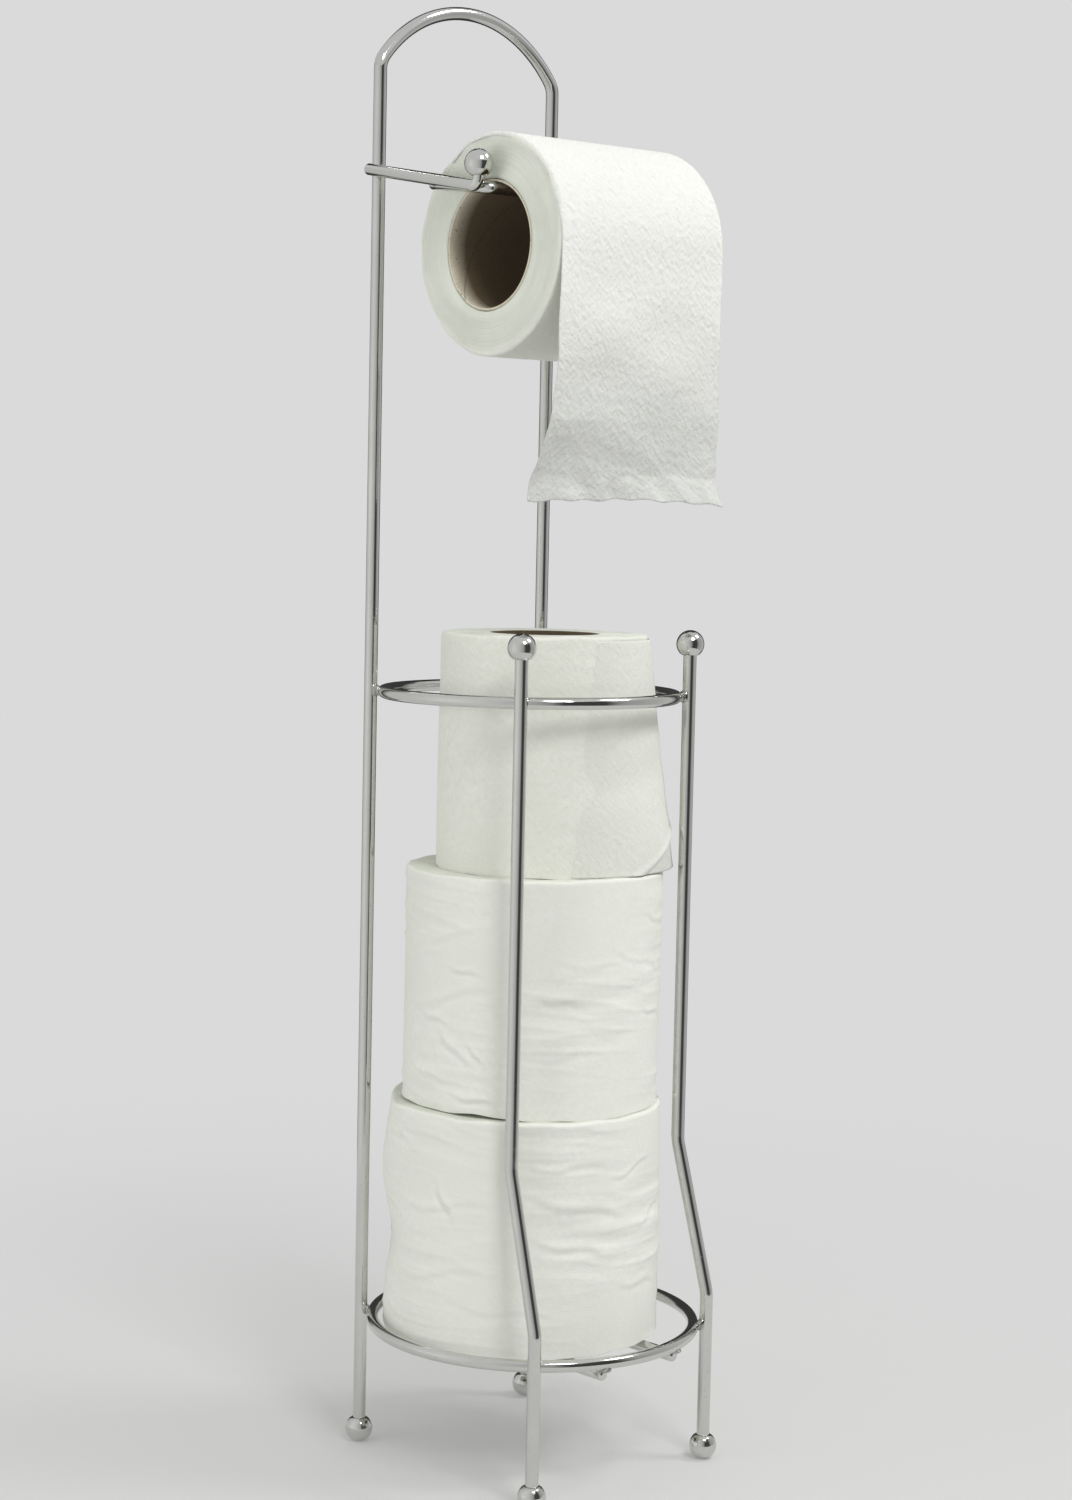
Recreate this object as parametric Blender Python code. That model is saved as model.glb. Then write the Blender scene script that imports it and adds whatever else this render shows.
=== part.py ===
"""Free-standing toilet paper stand of bent and welded chrome wire, with four rolls of paper.

Metres, +Z up. X runs along the handle hoop and -Y is the front. The origin is on the floor,
midway between the front of the lower ring and the back of the upper ring.
"""

from math import atan2, cos, pi, radians, sin, sqrt, tan

import bmesh
import bpy
from mathutils import Vector

# Wire and welds
FRAME_WIRE = 0.0056
RING_WIRE = 0.0052
ARM_WIRE = 0.005
WELD_GAP = 0.0003

# Handle hoop with the two rear legs. The handle rises above the support arm
HOOP_HALF_WIDTH = 0.0504
HANDLE_RISE = 0.07445
ARCH_RISE = 0.0259
SHOULDER_RADIUS = 0.009

# Front legs, which step forward above the lower ring and end above the upper ring
FRONT_HALF_WIDTH = 0.0497
FRONT_FOOT_HALF_WIDTH = 0.0514
FINIAL_RISE = 0.0228
STEP_START_RISE = 0.0144
STEP_RISE = 0.0645
STEP_BEND_RADIUS = 0.016

# Rings round the stored rolls. The upper one lies below the top of the stack
UPPER_RING_RADIUS = 0.063
UPPER_RING_DROP = 0.0266
LOWER_RING_EXTRA_RADIUS = 0.007
LOWER_RING_HEIGHT = 0.0591

# Two straight wires under the lower ring, which carry the stored rolls
BASE_BAR_SPACING = 0.042
BASE_BAR_TRIM = 0.0008

# Arm and bar for the roll in use. The bar lies above the stack and forward of the hoop. Its near
# end is bent back and lapped along the inner side of the arm, which turns up into a ball
ROLL_BAR_RISE = 0.1827
ROLL_BAR_REACH = 0.0695
ARM_BEND_RADIUS = 0.0035
ARM_SLOPE = radians(10)
ARM_TAIL = 0.001
LAP_LENGTH = 0.035
LAP_SLOPE = radians(8)

# Balls that cap every wire end
BALL_DIAMETER = 0.012
SEAT_LIP = 0.0005
SOCKET_DEPTH = 0.005
FOOT_FLAT_DIAMETER = 0.0034

# Roll in use and its loose sheet
CORE_WALL = 0.001
PAPER_GAP = 0.0003
ROLL_EDGE_ROUND = 0.0025
USED_ROLL_LENGTH = 0.0886
USED_ROLL_DIAMETER = 0.0908
USED_CORE_BORE = 0.0514
USED_ROLL_SKEW = radians(2.7)
FAR_END_PLAY = 0.0096
SHEET_THICKNESS = 0.0005
SHEET_DROP = 0.104
SHEET_WRAP_ANGLE = radians(125)
SHEET_SWING = 0.0203
SHEET_FRONT_LIFT = 0.0023
SHEET_SWING_POWER = 3

# Stored rolls, from the base up. The full share is how much of the room between core and upper
# ring a roll's paper fills. The others are how far it lies off its ring's centre, of its play there
STORED_ROLLS = 3
STORED_ROLL_HEIGHT = 0.1005
STORED_CORE_BORE = 0.0446
BOTTOM_ROLL_FULL_SHARE = 0.9755
BOTTOM_ROLL_RIGHT_SHARE = -0.152
BOTTOM_ROLL_REAR_SHARE = 0.886
MIDDLE_ROLL_FULL_SHARE = 0.8533
MIDDLE_ROLL_RIGHT_SHARE = 0.074
MIDDLE_ROLL_REAR_SHARE = -0.889
TOP_ROLL_FULL_SHARE = 0.5707
TOP_ROLL_RIGHT_SHARE = 0.025
TOP_ROLL_REAR_SHARE = -0.5
LOOSE_TURN_START = radians(228)
LOOSE_TURN_END = radians(332)
LOOSE_TURN_FLARE = 0.0085
LOOSE_TURN_FLARE_POWER = 2
LOOSE_TURN_INSET = 0.001

# Fineness of the curved surfaces
WIRE_SIDES_LEVEL = 4
RING_STEPS = 56
ARCH_STEPS = 22
BEND_STEPS = 5
BALL_STEPS = 20
BALL_ARC_STEPS = 8
ROLL_STEPS = 44
EDGE_STEPS = 3
SHEET_WRAP_STEPS = 12
SHEET_DROP_STEPS = 10
SHEET_WIDTH_STEPS = 8
MERGE_SHARE = 0.001

# Where the rings and legs meet, seen from above
lower_ring_radius = UPPER_RING_RADIUS + LOWER_RING_EXTRA_RADIUS
weld_reach = (FRAME_WIRE + RING_WIRE) / 2 + WELD_GAP
upper_reach = UPPER_RING_RADIUS + weld_reach
lower_reach = lower_ring_radius + weld_reach
hoop_behind_upper = sqrt(upper_reach**2 - HOOP_HALF_WIDTH**2)
hoop_behind_lower = sqrt(lower_reach**2 - HOOP_HALF_WIDTH**2)
ring_step = hoop_behind_lower - hoop_behind_upper
upper_ring_y = (ring_step + LOWER_RING_EXTRA_RADIUS) / 2
lower_ring_y = upper_ring_y - ring_step
hoop_y = upper_ring_y + hoop_behind_upper
front_leg_y = upper_ring_y - sqrt(upper_reach**2 - FRONT_HALF_WIDTH**2)
front_foot_y = lower_ring_y - sqrt(lower_reach**2 - FRONT_FOOT_HALF_WIDTH**2)

# Feet, and how far below a ball's centre its wire ends
ball_radius = BALL_DIAMETER / 2
foot_height = sqrt(ball_radius**2 - (FOOT_FLAT_DIAMETER / 2) ** 2)


def seat_radius(wire_diameter):
    return wire_diameter / 2 + WELD_GAP + SEAT_LIP


def seat_offset(wire_diameter):
    """How far a ball's flat seat lies from its centre."""
    return sqrt(ball_radius**2 - seat_radius(wire_diameter) ** 2)


def wire_end_offset(wire_diameter):
    """How far past a ball's centre its wire reaches, away from the seat."""
    return SOCKET_DEPTH - WELD_GAP - seat_offset(wire_diameter)


leg_end = foot_height - wire_end_offset(FRAME_WIRE)

# Heights, from the base bars up
base_bar_height = LOWER_RING_HEIGHT - RING_WIRE - WELD_GAP
stored_base = base_bar_height + RING_WIRE / 2 + WELD_GAP
stack_top = stored_base + STORED_ROLLS * STORED_ROLL_HEIGHT + (STORED_ROLLS - 1) * PAPER_GAP
upper_ring_height = stack_top - UPPER_RING_DROP
finial_height = upper_ring_height + FINIAL_RISE
step_bottom = LOWER_RING_HEIGHT + STEP_START_RISE
step_top = step_bottom + STEP_RISE
roll_bar_height = stack_top + ROLL_BAR_RISE
arm_height = roll_bar_height + ROLL_BAR_REACH * tan(ARM_SLOPE)
overall_height = arm_height + HANDLE_RISE

# The arm runs outside the rear left leg, and the lapped end of the bar runs inside the arm
arm_x = -HOOP_HALF_WIDTH - (FRAME_WIRE + ARM_WIRE) / 2 - WELD_GAP
lap_x = arm_x + ARM_WIRE + WELD_GAP
roll_bar_y = hoop_y - ROLL_BAR_REACH
arm_turn = pi / 2 + ARM_SLOPE
arm_ball_height = roll_bar_height + ARM_BEND_RADIUS * tan(arm_turn / 2) + seat_offset(ARM_WIRE)
bar_ball_height = roll_bar_height + ARM_BEND_RADIUS + seat_offset(ARM_WIRE)

# The roll in use hangs by the top of its core, between the lapped end and the far ball. It is
# askew on the bar, turned about its own middle
used_core_inner = USED_CORE_BORE / 2
used_core_outer = used_core_inner + CORE_WALL
used_roll_radius = USED_ROLL_DIAMETER / 2
used_across = Vector((cos(USED_ROLL_SKEW), -sin(USED_ROLL_SKEW), 0))
used_forward = Vector((-sin(USED_ROLL_SKEW), -cos(USED_ROLL_SKEW), 0))
end_swing = USED_ROLL_LENGTH / 2 * sin(USED_ROLL_SKEW)
bar_off_axis = used_core_inner - ARM_WIRE / 2 - WELD_GAP
used_roll_z = roll_bar_height - sqrt(bar_off_axis**2 - end_swing**2)
used_near_x = lap_x + ARM_WIRE / 2 + PAPER_GAP + end_swing * tan(USED_ROLL_SKEW)
used_near = Vector((used_near_x, roll_bar_y + end_swing, used_roll_z))
bar_end_x = used_near_x + USED_ROLL_LENGTH * cos(USED_ROLL_SKEW) + FAR_END_PLAY + ball_radius

# Stored rolls in their rings
upper_ring_inner = UPPER_RING_RADIUS - RING_WIRE / 2
lower_ring_inner = lower_ring_radius - RING_WIRE / 2
stored_core_inner = STORED_CORE_BORE / 2
stored_paper_bore = stored_core_inner + CORE_WALL + PAPER_GAP
paper_room = upper_ring_inner - stored_paper_bore
bottom_roll_radius = stored_paper_bore + paper_room * BOTTOM_ROLL_FULL_SHARE
middle_roll_radius = stored_paper_bore + paper_room * MIDDLE_ROLL_FULL_SHARE
top_roll_radius = stored_paper_bore + paper_room * TOP_ROLL_FULL_SHARE


def clear_scene():
    for obj in list(bpy.data.objects):
        bpy.data.objects.remove(obj)


def make_material(name, colour, roughness, metallic):
    material = bpy.data.materials.new(name)
    material.use_nodes = True
    shader = material.node_tree.nodes["Principled BSDF"]
    shader.inputs["Base Color"].default_value = (*colour, 1)
    shader.inputs["Roughness"].default_value = roughness
    shader.inputs["Metallic"].default_value = metallic
    material.diffuse_color = (*colour, 1)
    return material


def make_empty(name, location, rotation=(0, 0, 0)):
    empty = bpy.data.objects.new(name, None)
    empty.location = location
    empty.rotation_euler = rotation
    bpy.context.scene.collection.objects.link(empty)
    return empty


def add_object(name, data, material, parent):
    obj = bpy.data.objects.new(name, data)
    data.materials.append(material)
    obj.parent = parent
    bpy.context.scene.collection.objects.link(obj)
    return obj


def arc(centre, radius, start, end, steps):
    """Points of an arc in an upright XZ plane, angles from +X towards +Z."""
    angles = [start + (end - start) * step / steps for step in range(steps + 1)]
    return [centre + radius * Vector((cos(angle), 0, sin(angle))) for angle in angles]


def rounded_path(corners, radius):
    """The path through these corners, each inner one rounded to the bend radius."""
    path = [Vector(corners[0])]
    for before, corner, after in zip(corners, corners[1:], corners[2:]):
        corner = Vector(corner)
        arriving = (corner - Vector(before)).normalized()
        leaving = (Vector(after) - corner).normalized()
        turn = arriving.angle(leaving)
        inward = (leaving - arriving * arriving.dot(leaving)).normalized()
        centre = corner - arriving * radius * tan(turn / 2) + inward * radius
        for step in range(BEND_STEPS + 1):
            angle = turn * step / BEND_STEPS
            path.append(centre + radius * (arriving * sin(angle) - inward * cos(angle)))
    path.append(Vector(corners[-1]))
    return path


def wire(name, points, diameter, material, parent, closed=False):
    """A round wire along the points, with flat cut ends unless it is closed."""
    curve = bpy.data.curves.new(name, "CURVE")
    curve.dimensions = "3D"
    curve.bevel_depth = diameter / 2
    curve.bevel_resolution = WIRE_SIDES_LEVEL
    curve.use_fill_caps = not closed
    spline = curve.splines.new("POLY")
    spline.points.add(len(points) - 1)
    for place, point in zip(spline.points, points):
        place.co = (*point, 1)
    spline.use_cyclic_u = closed
    spline.use_smooth = True
    return add_object(name, curve, material, parent)


def turned(name, profile, steps, material, parent, closed=False):
    """A solid turned round Z from (radius, height) points."""
    bm = bmesh.new()
    verts = [bm.verts.new((radius, 0, height)) for radius, height in profile]
    pairs = list(zip(verts, verts[1:]))
    if closed:
        pairs.append((verts[-1], verts[0]))
    edges = [bm.edges.new(pair) for pair in pairs]
    bmesh.ops.spin(bm, geom=verts + edges, cent=(0, 0, 0), axis=(0, 0, 1), angle=2 * pi,
                   steps=steps, use_merge=True)
    reach = max(radius for radius, height in profile)
    bmesh.ops.remove_doubles(bm, verts=bm.verts, dist=reach * MERGE_SHARE)
    bmesh.ops.recalc_face_normals(bm, faces=bm.faces)
    mesh = bpy.data.meshes.new(name)
    bm.to_mesh(mesh)
    bm.free()
    mesh.shade_smooth()
    mesh.set_sharp_from_angle(angle=radians(40))
    return add_object(name, mesh, material, parent)


def surface_sheet(name, rows, thickness, material, parent):
    """A thin sheet through a grid of points, given its thickness by Solidify."""
    bm = bmesh.new()
    grid = [[bm.verts.new(point) for point in row] for row in rows]
    for upper, lower in zip(grid, grid[1:]):
        for column in range(len(upper) - 1):
            bm.faces.new((upper[column], upper[column + 1], lower[column + 1], lower[column]))
    mesh = bpy.data.meshes.new(name)
    bm.to_mesh(mesh)
    bm.free()
    mesh.shade_smooth()
    sheet = add_object(name, mesh, material, parent)
    skin = sheet.modifiers.new("Thickness", "SOLIDIFY")
    skin.thickness = thickness
    skin.offset = 0
    return sheet


def ring(name, radius, y, height, material, parent):
    angles = [2 * pi * step / RING_STEPS for step in range(RING_STEPS)]
    points = [Vector((radius * cos(angle), y + radius * sin(angle), height)) for angle in angles]
    return wire(name, points, RING_WIRE, material, parent, closed=True)


def hoop_path():
    """Up the left leg, round a tight shoulder, over the wide arch and down again."""
    arch_radius = (HOOP_HALF_WIDTH**2 + ARCH_RISE**2) / (2 * ARCH_RISE)
    arch_centre = Vector((0, hoop_y, overall_height - FRAME_WIRE / 2 - arch_radius))
    shoulder_x = HOOP_HALF_WIDTH - SHOULDER_RADIUS
    shoulder_rise = sqrt((arch_radius - SHOULDER_RADIUS) ** 2 - shoulder_x**2)
    left = arch_centre + Vector((-shoulder_x, 0, shoulder_rise))
    right = arch_centre + Vector((shoulder_x, 0, shoulder_rise))
    meet = atan2(shoulder_rise, shoulder_x)
    path = [Vector((-HOOP_HALF_WIDTH, hoop_y, leg_end))]
    path += arc(left, SHOULDER_RADIUS, pi, pi - meet, BEND_STEPS)
    path += arc(arch_centre, arch_radius, pi - meet, meet, ARCH_STEPS)[1:-1]
    path += arc(right, SHOULDER_RADIUS, meet, 0, BEND_STEPS)
    path.append(Vector((HOOP_HALF_WIDTH, hoop_y, leg_end)))
    return path


def front_leg_path(side):
    corners = [
        (side * FRONT_FOOT_HALF_WIDTH, front_foot_y, leg_end),
        (side * FRONT_FOOT_HALF_WIDTH, front_foot_y, step_bottom),
        (side * FRONT_HALF_WIDTH, front_leg_y, step_top),
        (side * FRONT_HALF_WIDTH, front_leg_y, finial_height + wire_end_offset(FRAME_WIRE)),
    ]
    return rounded_path(corners, STEP_BEND_RADIUS)


def base_bar_path(side):
    """One straight wire under the lower ring, cut off just inside the ring's centre line."""
    x = side * BASE_BAR_SPACING / 2
    half = sqrt(lower_ring_radius**2 - x**2) - BASE_BAR_TRIM
    return [
        Vector((x, lower_ring_y - half, base_bar_height)),
        Vector((x, lower_ring_y + half, base_bar_height)),
    ]


def arm_path():
    """From its weld outside the rear left leg, down and forward, then up into its ball."""
    corners = [
        (arm_x, hoop_y + ARM_TAIL, arm_height + ARM_TAIL * tan(ARM_SLOPE)),
        (arm_x, roll_bar_y, roll_bar_height),
        (arm_x, roll_bar_y, arm_ball_height + wire_end_offset(ARM_WIRE)),
    ]
    return rounded_path(corners, ARM_BEND_RADIUS)


def roll_bar_path():
    """Along the arm, across through the roll's core, and up into the far ball."""
    corners = [
        (lap_x, roll_bar_y + LAP_LENGTH, roll_bar_height + LAP_LENGTH * tan(LAP_SLOPE)),
        (lap_x, roll_bar_y, roll_bar_height),
        (bar_end_x, roll_bar_y, roll_bar_height),
        (bar_end_x, roll_bar_y, bar_ball_height + wire_end_offset(ARM_WIRE)),
    ]
    return rounded_path(corners, ARM_BEND_RADIUS)


def ball(name, location, wire_diameter, material, parent, is_foot=False):
    """A bored ball on a wire end. Its socket opens up on a foot, and down on a finial."""
    socket_radius = wire_diameter / 2 + WELD_GAP
    seat = seat_offset(wire_diameter)
    floor = seat - SOCKET_DEPTH
    seat_angle = atan2(seat, seat_radius(wire_diameter))
    last_angle = -pi / 2
    if is_foot:
        last_angle = -atan2(foot_height, FOOT_FLAT_DIAMETER / 2)
    profile = [(0, floor), (socket_radius, floor), (socket_radius, seat)]
    for step in range(BALL_ARC_STEPS + 1):
        angle = seat_angle + (last_angle - seat_angle) * step / BALL_ARC_STEPS
        profile.append((ball_radius * cos(angle), ball_radius * sin(angle)))
    if is_foot:
        profile.append((0, -foot_height))
    else:
        profile[-1] = (0, -ball_radius)
    capped = turned(name, profile, BALL_STEPS, material, parent)
    capped.location = location
    if not is_foot:
        capped.rotation_euler = (pi, 0, 0)
    return capped


def paper_roll(name, bore_radius, radius, length, material, parent):
    """The wound paper, a thick ring with rounded outer rims, from height 0 up."""
    inner = radius - ROLL_EDGE_ROUND
    profile = [(bore_radius, length), (bore_radius, 0)]
    for step in range(EDGE_STEPS + 1):
        angle = pi / 2 * step / EDGE_STEPS
        rim = ROLL_EDGE_ROUND * (1 - cos(angle))
        profile.append((inner + ROLL_EDGE_ROUND * sin(angle), rim))
    for step in range(EDGE_STEPS + 1):
        angle = pi / 2 * step / EDGE_STEPS
        rim = length - ROLL_EDGE_ROUND * (1 - sin(angle))
        profile.append((inner + ROLL_EDGE_ROUND * cos(angle), rim))
    return turned(name, profile, ROLL_STEPS, material, parent, closed=True)


def core_tube(name, inner_radius, length, material, parent):
    outer_radius = inner_radius + CORE_WALL
    profile = [(inner_radius, length), (inner_radius, 0), (outer_radius, 0), (outer_radius, length)]
    return turned(name, profile, ROLL_STEPS, material, parent, closed=True)


def used_roll_point(across, forward, up):
    """A place on or near the roll in use, from the middle of its near face."""
    return used_near + used_across * across + used_forward * forward + Vector((0, 0, up))


def loose_sheet_rows():
    """The free end of the roll in use: over its top, down its front, then hanging free."""
    layer = used_roll_radius + PAPER_GAP + SHEET_THICKNESS / 2
    shares = [step / SHEET_WIDTH_STEPS for step in range(SHEET_WIDTH_STEPS + 1)]
    rows = []
    for step in range(SHEET_WRAP_STEPS):
        angle = SHEET_WRAP_ANGLE * (1 - step / SHEET_WRAP_STEPS)
        forward = layer * cos(angle)
        up = layer * sin(angle)
        rows.append([used_roll_point(USED_ROLL_LENGTH * share, forward, up) for share in shares])
    for step in range(SHEET_DROP_STEPS + 1):
        down = step / SHEET_DROP_STEPS
        row = []
        for share in shares:
            swing = SHEET_SWING * (1 - share) - SHEET_FRONT_LIFT
            forward = layer - swing * down**SHEET_SWING_POWER
            row.append(used_roll_point(USED_ROLL_LENGTH * share, forward, -SHEET_DROP * down))
        rows.append(row)
    return rows


def loose_turn_rows():
    """The outer turn of the top roll, which has come away and flares at its lower right."""
    layer = top_roll_radius + PAPER_GAP + SHEET_THICKNESS / 2
    height = STORED_ROLL_HEIGHT - 2 * LOOSE_TURN_INSET
    rows = []
    for row_step in range(SHEET_WIDTH_STEPS + 1):
        rise = row_step / SHEET_WIDTH_STEPS
        flare = LOOSE_TURN_FLARE * (1 - rise) ** LOOSE_TURN_FLARE_POWER
        row = []
        for step in range(SHEET_WRAP_STEPS + 1):
            round_share = step / SHEET_WRAP_STEPS
            angle = LOOSE_TURN_START + (LOOSE_TURN_END - LOOSE_TURN_START) * round_share
            reach = layer + flare * round_share
            row.append((reach * cos(angle), reach * sin(angle), LOOSE_TURN_INSET + height * rise))
        rows.append(row)
    return rows


def build_frame(chrome):
    stand = make_empty("stand", (0, 0, 0))
    wire("rear_hoop", hoop_path(), FRAME_WIRE, chrome, stand)
    for side, name in ((-1, "left"), (1, "right")):
        wire("front_" + name + "_leg", front_leg_path(side), FRAME_WIRE, chrome, stand)
        wire("base_bar_" + name, base_bar_path(side), RING_WIRE, chrome, stand)
    ring("upper_ring", UPPER_RING_RADIUS, upper_ring_y, upper_ring_height, chrome, stand)
    ring("lower_ring", lower_ring_radius, lower_ring_y, LOWER_RING_HEIGHT, chrome, stand)
    wire("support_arm", arm_path(), ARM_WIRE, chrome, stand)
    wire("roll_bar", roll_bar_path(), ARM_WIRE, chrome, stand)
    return stand


def build_balls(chrome, stand):
    ball("arm_ball", (arm_x, roll_bar_y, arm_ball_height), ARM_WIRE, chrome, stand)
    ball("roll_bar_ball", (bar_end_x, roll_bar_y, bar_ball_height), ARM_WIRE, chrome, stand)
    for side, name in ((-1, "left"), (1, "right")):
        finial_place = (side * FRONT_HALF_WIDTH, front_leg_y, finial_height)
        front_place = (side * FRONT_FOOT_HALF_WIDTH, front_foot_y, foot_height)
        rear_place = (side * HOOP_HALF_WIDTH, hoop_y, foot_height)
        ball("front_" + name + "_finial", finial_place, FRAME_WIRE, chrome, stand)
        ball("front_" + name + "_foot", front_place, FRAME_WIRE, chrome, stand, is_foot=True)
        ball("rear_" + name + "_foot", rear_place, FRAME_WIRE, chrome, stand, is_foot=True)


def build_used_roll(paper, card, stand):
    """The roll on the bar. It hangs by the top of its core, so its axis is below the bar."""
    roll = make_empty("hanging_roll", used_near, (0, pi / 2, -USED_ROLL_SKEW))
    roll.parent = stand
    core_tube("hanging_roll_core", used_core_inner, USED_ROLL_LENGTH, card, roll)
    paper_bore = used_core_outer + PAPER_GAP
    paper_roll("hanging_roll_paper", paper_bore, used_roll_radius, USED_ROLL_LENGTH, paper, roll)
    surface_sheet("loose_sheet", loose_sheet_rows(), SHEET_THICKNESS, paper, stand)


def stored_roll(level, name, radius, x, y, paper, card, stand):
    """One roll of the stack, standing on end. Level 0 rests on the base bars."""
    base = stored_base + level * (STORED_ROLL_HEIGHT + PAPER_GAP)
    roll = make_empty(name, (x, y, base))
    roll.parent = stand
    core_tube(name + "_core", stored_core_inner, STORED_ROLL_HEIGHT, card, roll)
    paper_roll(name + "_paper", stored_paper_bore, radius, STORED_ROLL_HEIGHT, paper, roll)
    return roll


def build_stored_rolls(paper, card, stand):
    bottom_play = lower_ring_inner - bottom_roll_radius
    bottom_x = bottom_play * BOTTOM_ROLL_RIGHT_SHARE
    bottom_y = lower_ring_y + bottom_play * BOTTOM_ROLL_REAR_SHARE
    middle_play = upper_ring_inner - middle_roll_radius
    middle_x = middle_play * MIDDLE_ROLL_RIGHT_SHARE
    middle_y = upper_ring_y + middle_play * MIDDLE_ROLL_REAR_SHARE
    top_play = upper_ring_inner - top_roll_radius
    top_x = top_play * TOP_ROLL_RIGHT_SHARE
    top_y = upper_ring_y + top_play * TOP_ROLL_REAR_SHARE
    stored_roll(0, "bottom_roll", bottom_roll_radius, bottom_x, bottom_y, paper, card, stand)
    stored_roll(1, "middle_roll", middle_roll_radius, middle_x, middle_y, paper, card, stand)
    top_roll = stored_roll(2, "top_roll", top_roll_radius, top_x, top_y, paper, card, stand)
    surface_sheet("top_roll_loose_turn", loose_turn_rows(), SHEET_THICKNESS, paper, top_roll)


def main():
    clear_scene()
    chrome = make_material("chrome", (0.62, 0.63, 0.64), 0.12, 1)
    paper = make_material("paper", (0.88, 0.89, 0.85), 0.92, 0)
    card = make_material("cardboard", (0.36, 0.28, 0.2), 0.85, 0)
    stand = build_frame(chrome)
    build_balls(chrome, stand)
    build_used_roll(paper, card, stand)
    build_stored_rolls(paper, card, stand)


main()
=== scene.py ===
"""The looks of the toilet paper stand: chromed wire, balls, welds, rolls of paper and their cores.

Metres, +Z up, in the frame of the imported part. The front is -Y, where the loose sheet hangs.
"""

from math import atan2, cos, pi, radians, sin, sqrt, tan

import bmesh
import bpy
import numpy as np
from mathutils import Matrix, Vector


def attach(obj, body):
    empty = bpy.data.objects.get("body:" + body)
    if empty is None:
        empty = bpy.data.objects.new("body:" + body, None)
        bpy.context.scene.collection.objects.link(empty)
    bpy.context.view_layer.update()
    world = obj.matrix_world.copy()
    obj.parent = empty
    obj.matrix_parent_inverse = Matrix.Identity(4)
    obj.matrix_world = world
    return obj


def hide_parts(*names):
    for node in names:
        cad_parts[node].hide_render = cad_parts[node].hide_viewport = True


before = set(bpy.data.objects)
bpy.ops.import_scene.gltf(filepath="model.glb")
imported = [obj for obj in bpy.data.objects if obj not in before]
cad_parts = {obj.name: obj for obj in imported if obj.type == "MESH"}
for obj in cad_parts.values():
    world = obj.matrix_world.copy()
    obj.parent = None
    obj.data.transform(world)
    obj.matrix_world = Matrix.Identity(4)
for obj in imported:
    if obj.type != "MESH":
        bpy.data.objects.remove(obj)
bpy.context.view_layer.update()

# Wire frame, as in the part's source
FRAME_WIRE = 0.0056
RING_WIRE = 0.0052
ARM_WIRE = 0.005
WIRE_SIDES = 32
WELD_GAP = 0.0003
HOOP_HALF_WIDTH = 0.0504
HANDLE_RISE = 0.07445
ARCH_RISE = 0.0259
SHOULDER_RADIUS = 0.009
FRONT_HALF_WIDTH = 0.0497
FRONT_FOOT_HALF_WIDTH = 0.0514
FINIAL_RISE = 0.0228
STEP_START_RISE = 0.0144
STEP_RISE = 0.0645
STEP_BEND_RADIUS = 0.016
UPPER_RING_RADIUS = 0.063
UPPER_RING_DROP = 0.0266
LOWER_RING_RADIUS = 0.07
LOWER_RING_HEIGHT = 0.0591
BASE_BAR_SPACING = 0.042
BASE_BAR_TRIM = 0.0008
ROLL_BAR_RISE = 0.1827
ROLL_BAR_REACH = 0.0695
ARM_BEND_RADIUS = 0.0035
ARM_SLOPE = radians(10)
ARM_TAIL = 0.001
LAP_LENGTH = 0.035
LAP_SLOPE = radians(6.8)
LAP_WELD_SHARES = (0.25, 0.55, 0.85)
BALL_RADIUS = 0.006
SEAT_LIP = 0.0005
SOCKET_DEPTH = 0.005
FOOT_FLAT_RADIUS = 0.0017
SOCKET_LIP = 0.00035
SOCKET_FIT_SHARE = 0.6
SEAT_ROUND_OUT, SEAT_ROUND_IN = 0.0005, 0.0004
LIP_ROWS, BALL_ROWS = 5, 32
TURNED_SIDES = 64
SHARP_FROM = radians(35)

# Rolls of paper
CORE_WALL = 0.001
SEAM_PITCH = 0.058
PAPER_GAP = 0.0003
USED_ROLL_LENGTH = 0.0886
USED_ROLL_RADIUS = 0.0454
USED_CORE_INNER = 0.0257
USED_ROLL_SKEW = radians(2.7)
FAR_END_PLAY = 0.0096
STORED_ROLL_HEIGHT = 0.1005
STORED_CORE_INNER = 0.0223
BOTTOM_ROLL = (-0.0012, 0.0056, 0.0595)
MIDDLE_ROLL = (0.0004, 0.0036, 0.055)
TOP_ROLL = (0.0004, 0.0005, 0.0446)

UPWARD = np.array((0.0, 0.0, 1.0))

# Derived places
weld_reach = (FRAME_WIRE + RING_WIRE) / 2 + WELD_GAP
upper_reach = UPPER_RING_RADIUS + weld_reach
lower_reach = LOWER_RING_RADIUS + weld_reach
hoop_behind_upper = sqrt(upper_reach**2 - HOOP_HALF_WIDTH**2)
hoop_behind_lower = sqrt(lower_reach**2 - HOOP_HALF_WIDTH**2)
ring_step = hoop_behind_lower - hoop_behind_upper
upper_ring_y = (ring_step + LOWER_RING_RADIUS - UPPER_RING_RADIUS) / 2
lower_ring_y = upper_ring_y - ring_step
hoop_y = upper_ring_y + hoop_behind_upper
front_leg_y = upper_ring_y - sqrt(upper_reach**2 - FRONT_HALF_WIDTH**2)
front_foot_y = lower_ring_y - sqrt(lower_reach**2 - FRONT_FOOT_HALF_WIDTH**2)
foot_height = sqrt(BALL_RADIUS**2 - FOOT_FLAT_RADIUS**2)


def seat_offset(wire_diameter):
    """How far a ball's flat seat lies from its centre."""
    return sqrt(BALL_RADIUS**2 - (wire_diameter / 2 + WELD_GAP + SEAT_LIP) ** 2)


def wire_end_offset(wire_diameter):
    """How far past a ball's centre its wire reaches, away from the seat."""
    return SOCKET_DEPTH - WELD_GAP - seat_offset(wire_diameter)


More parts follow.
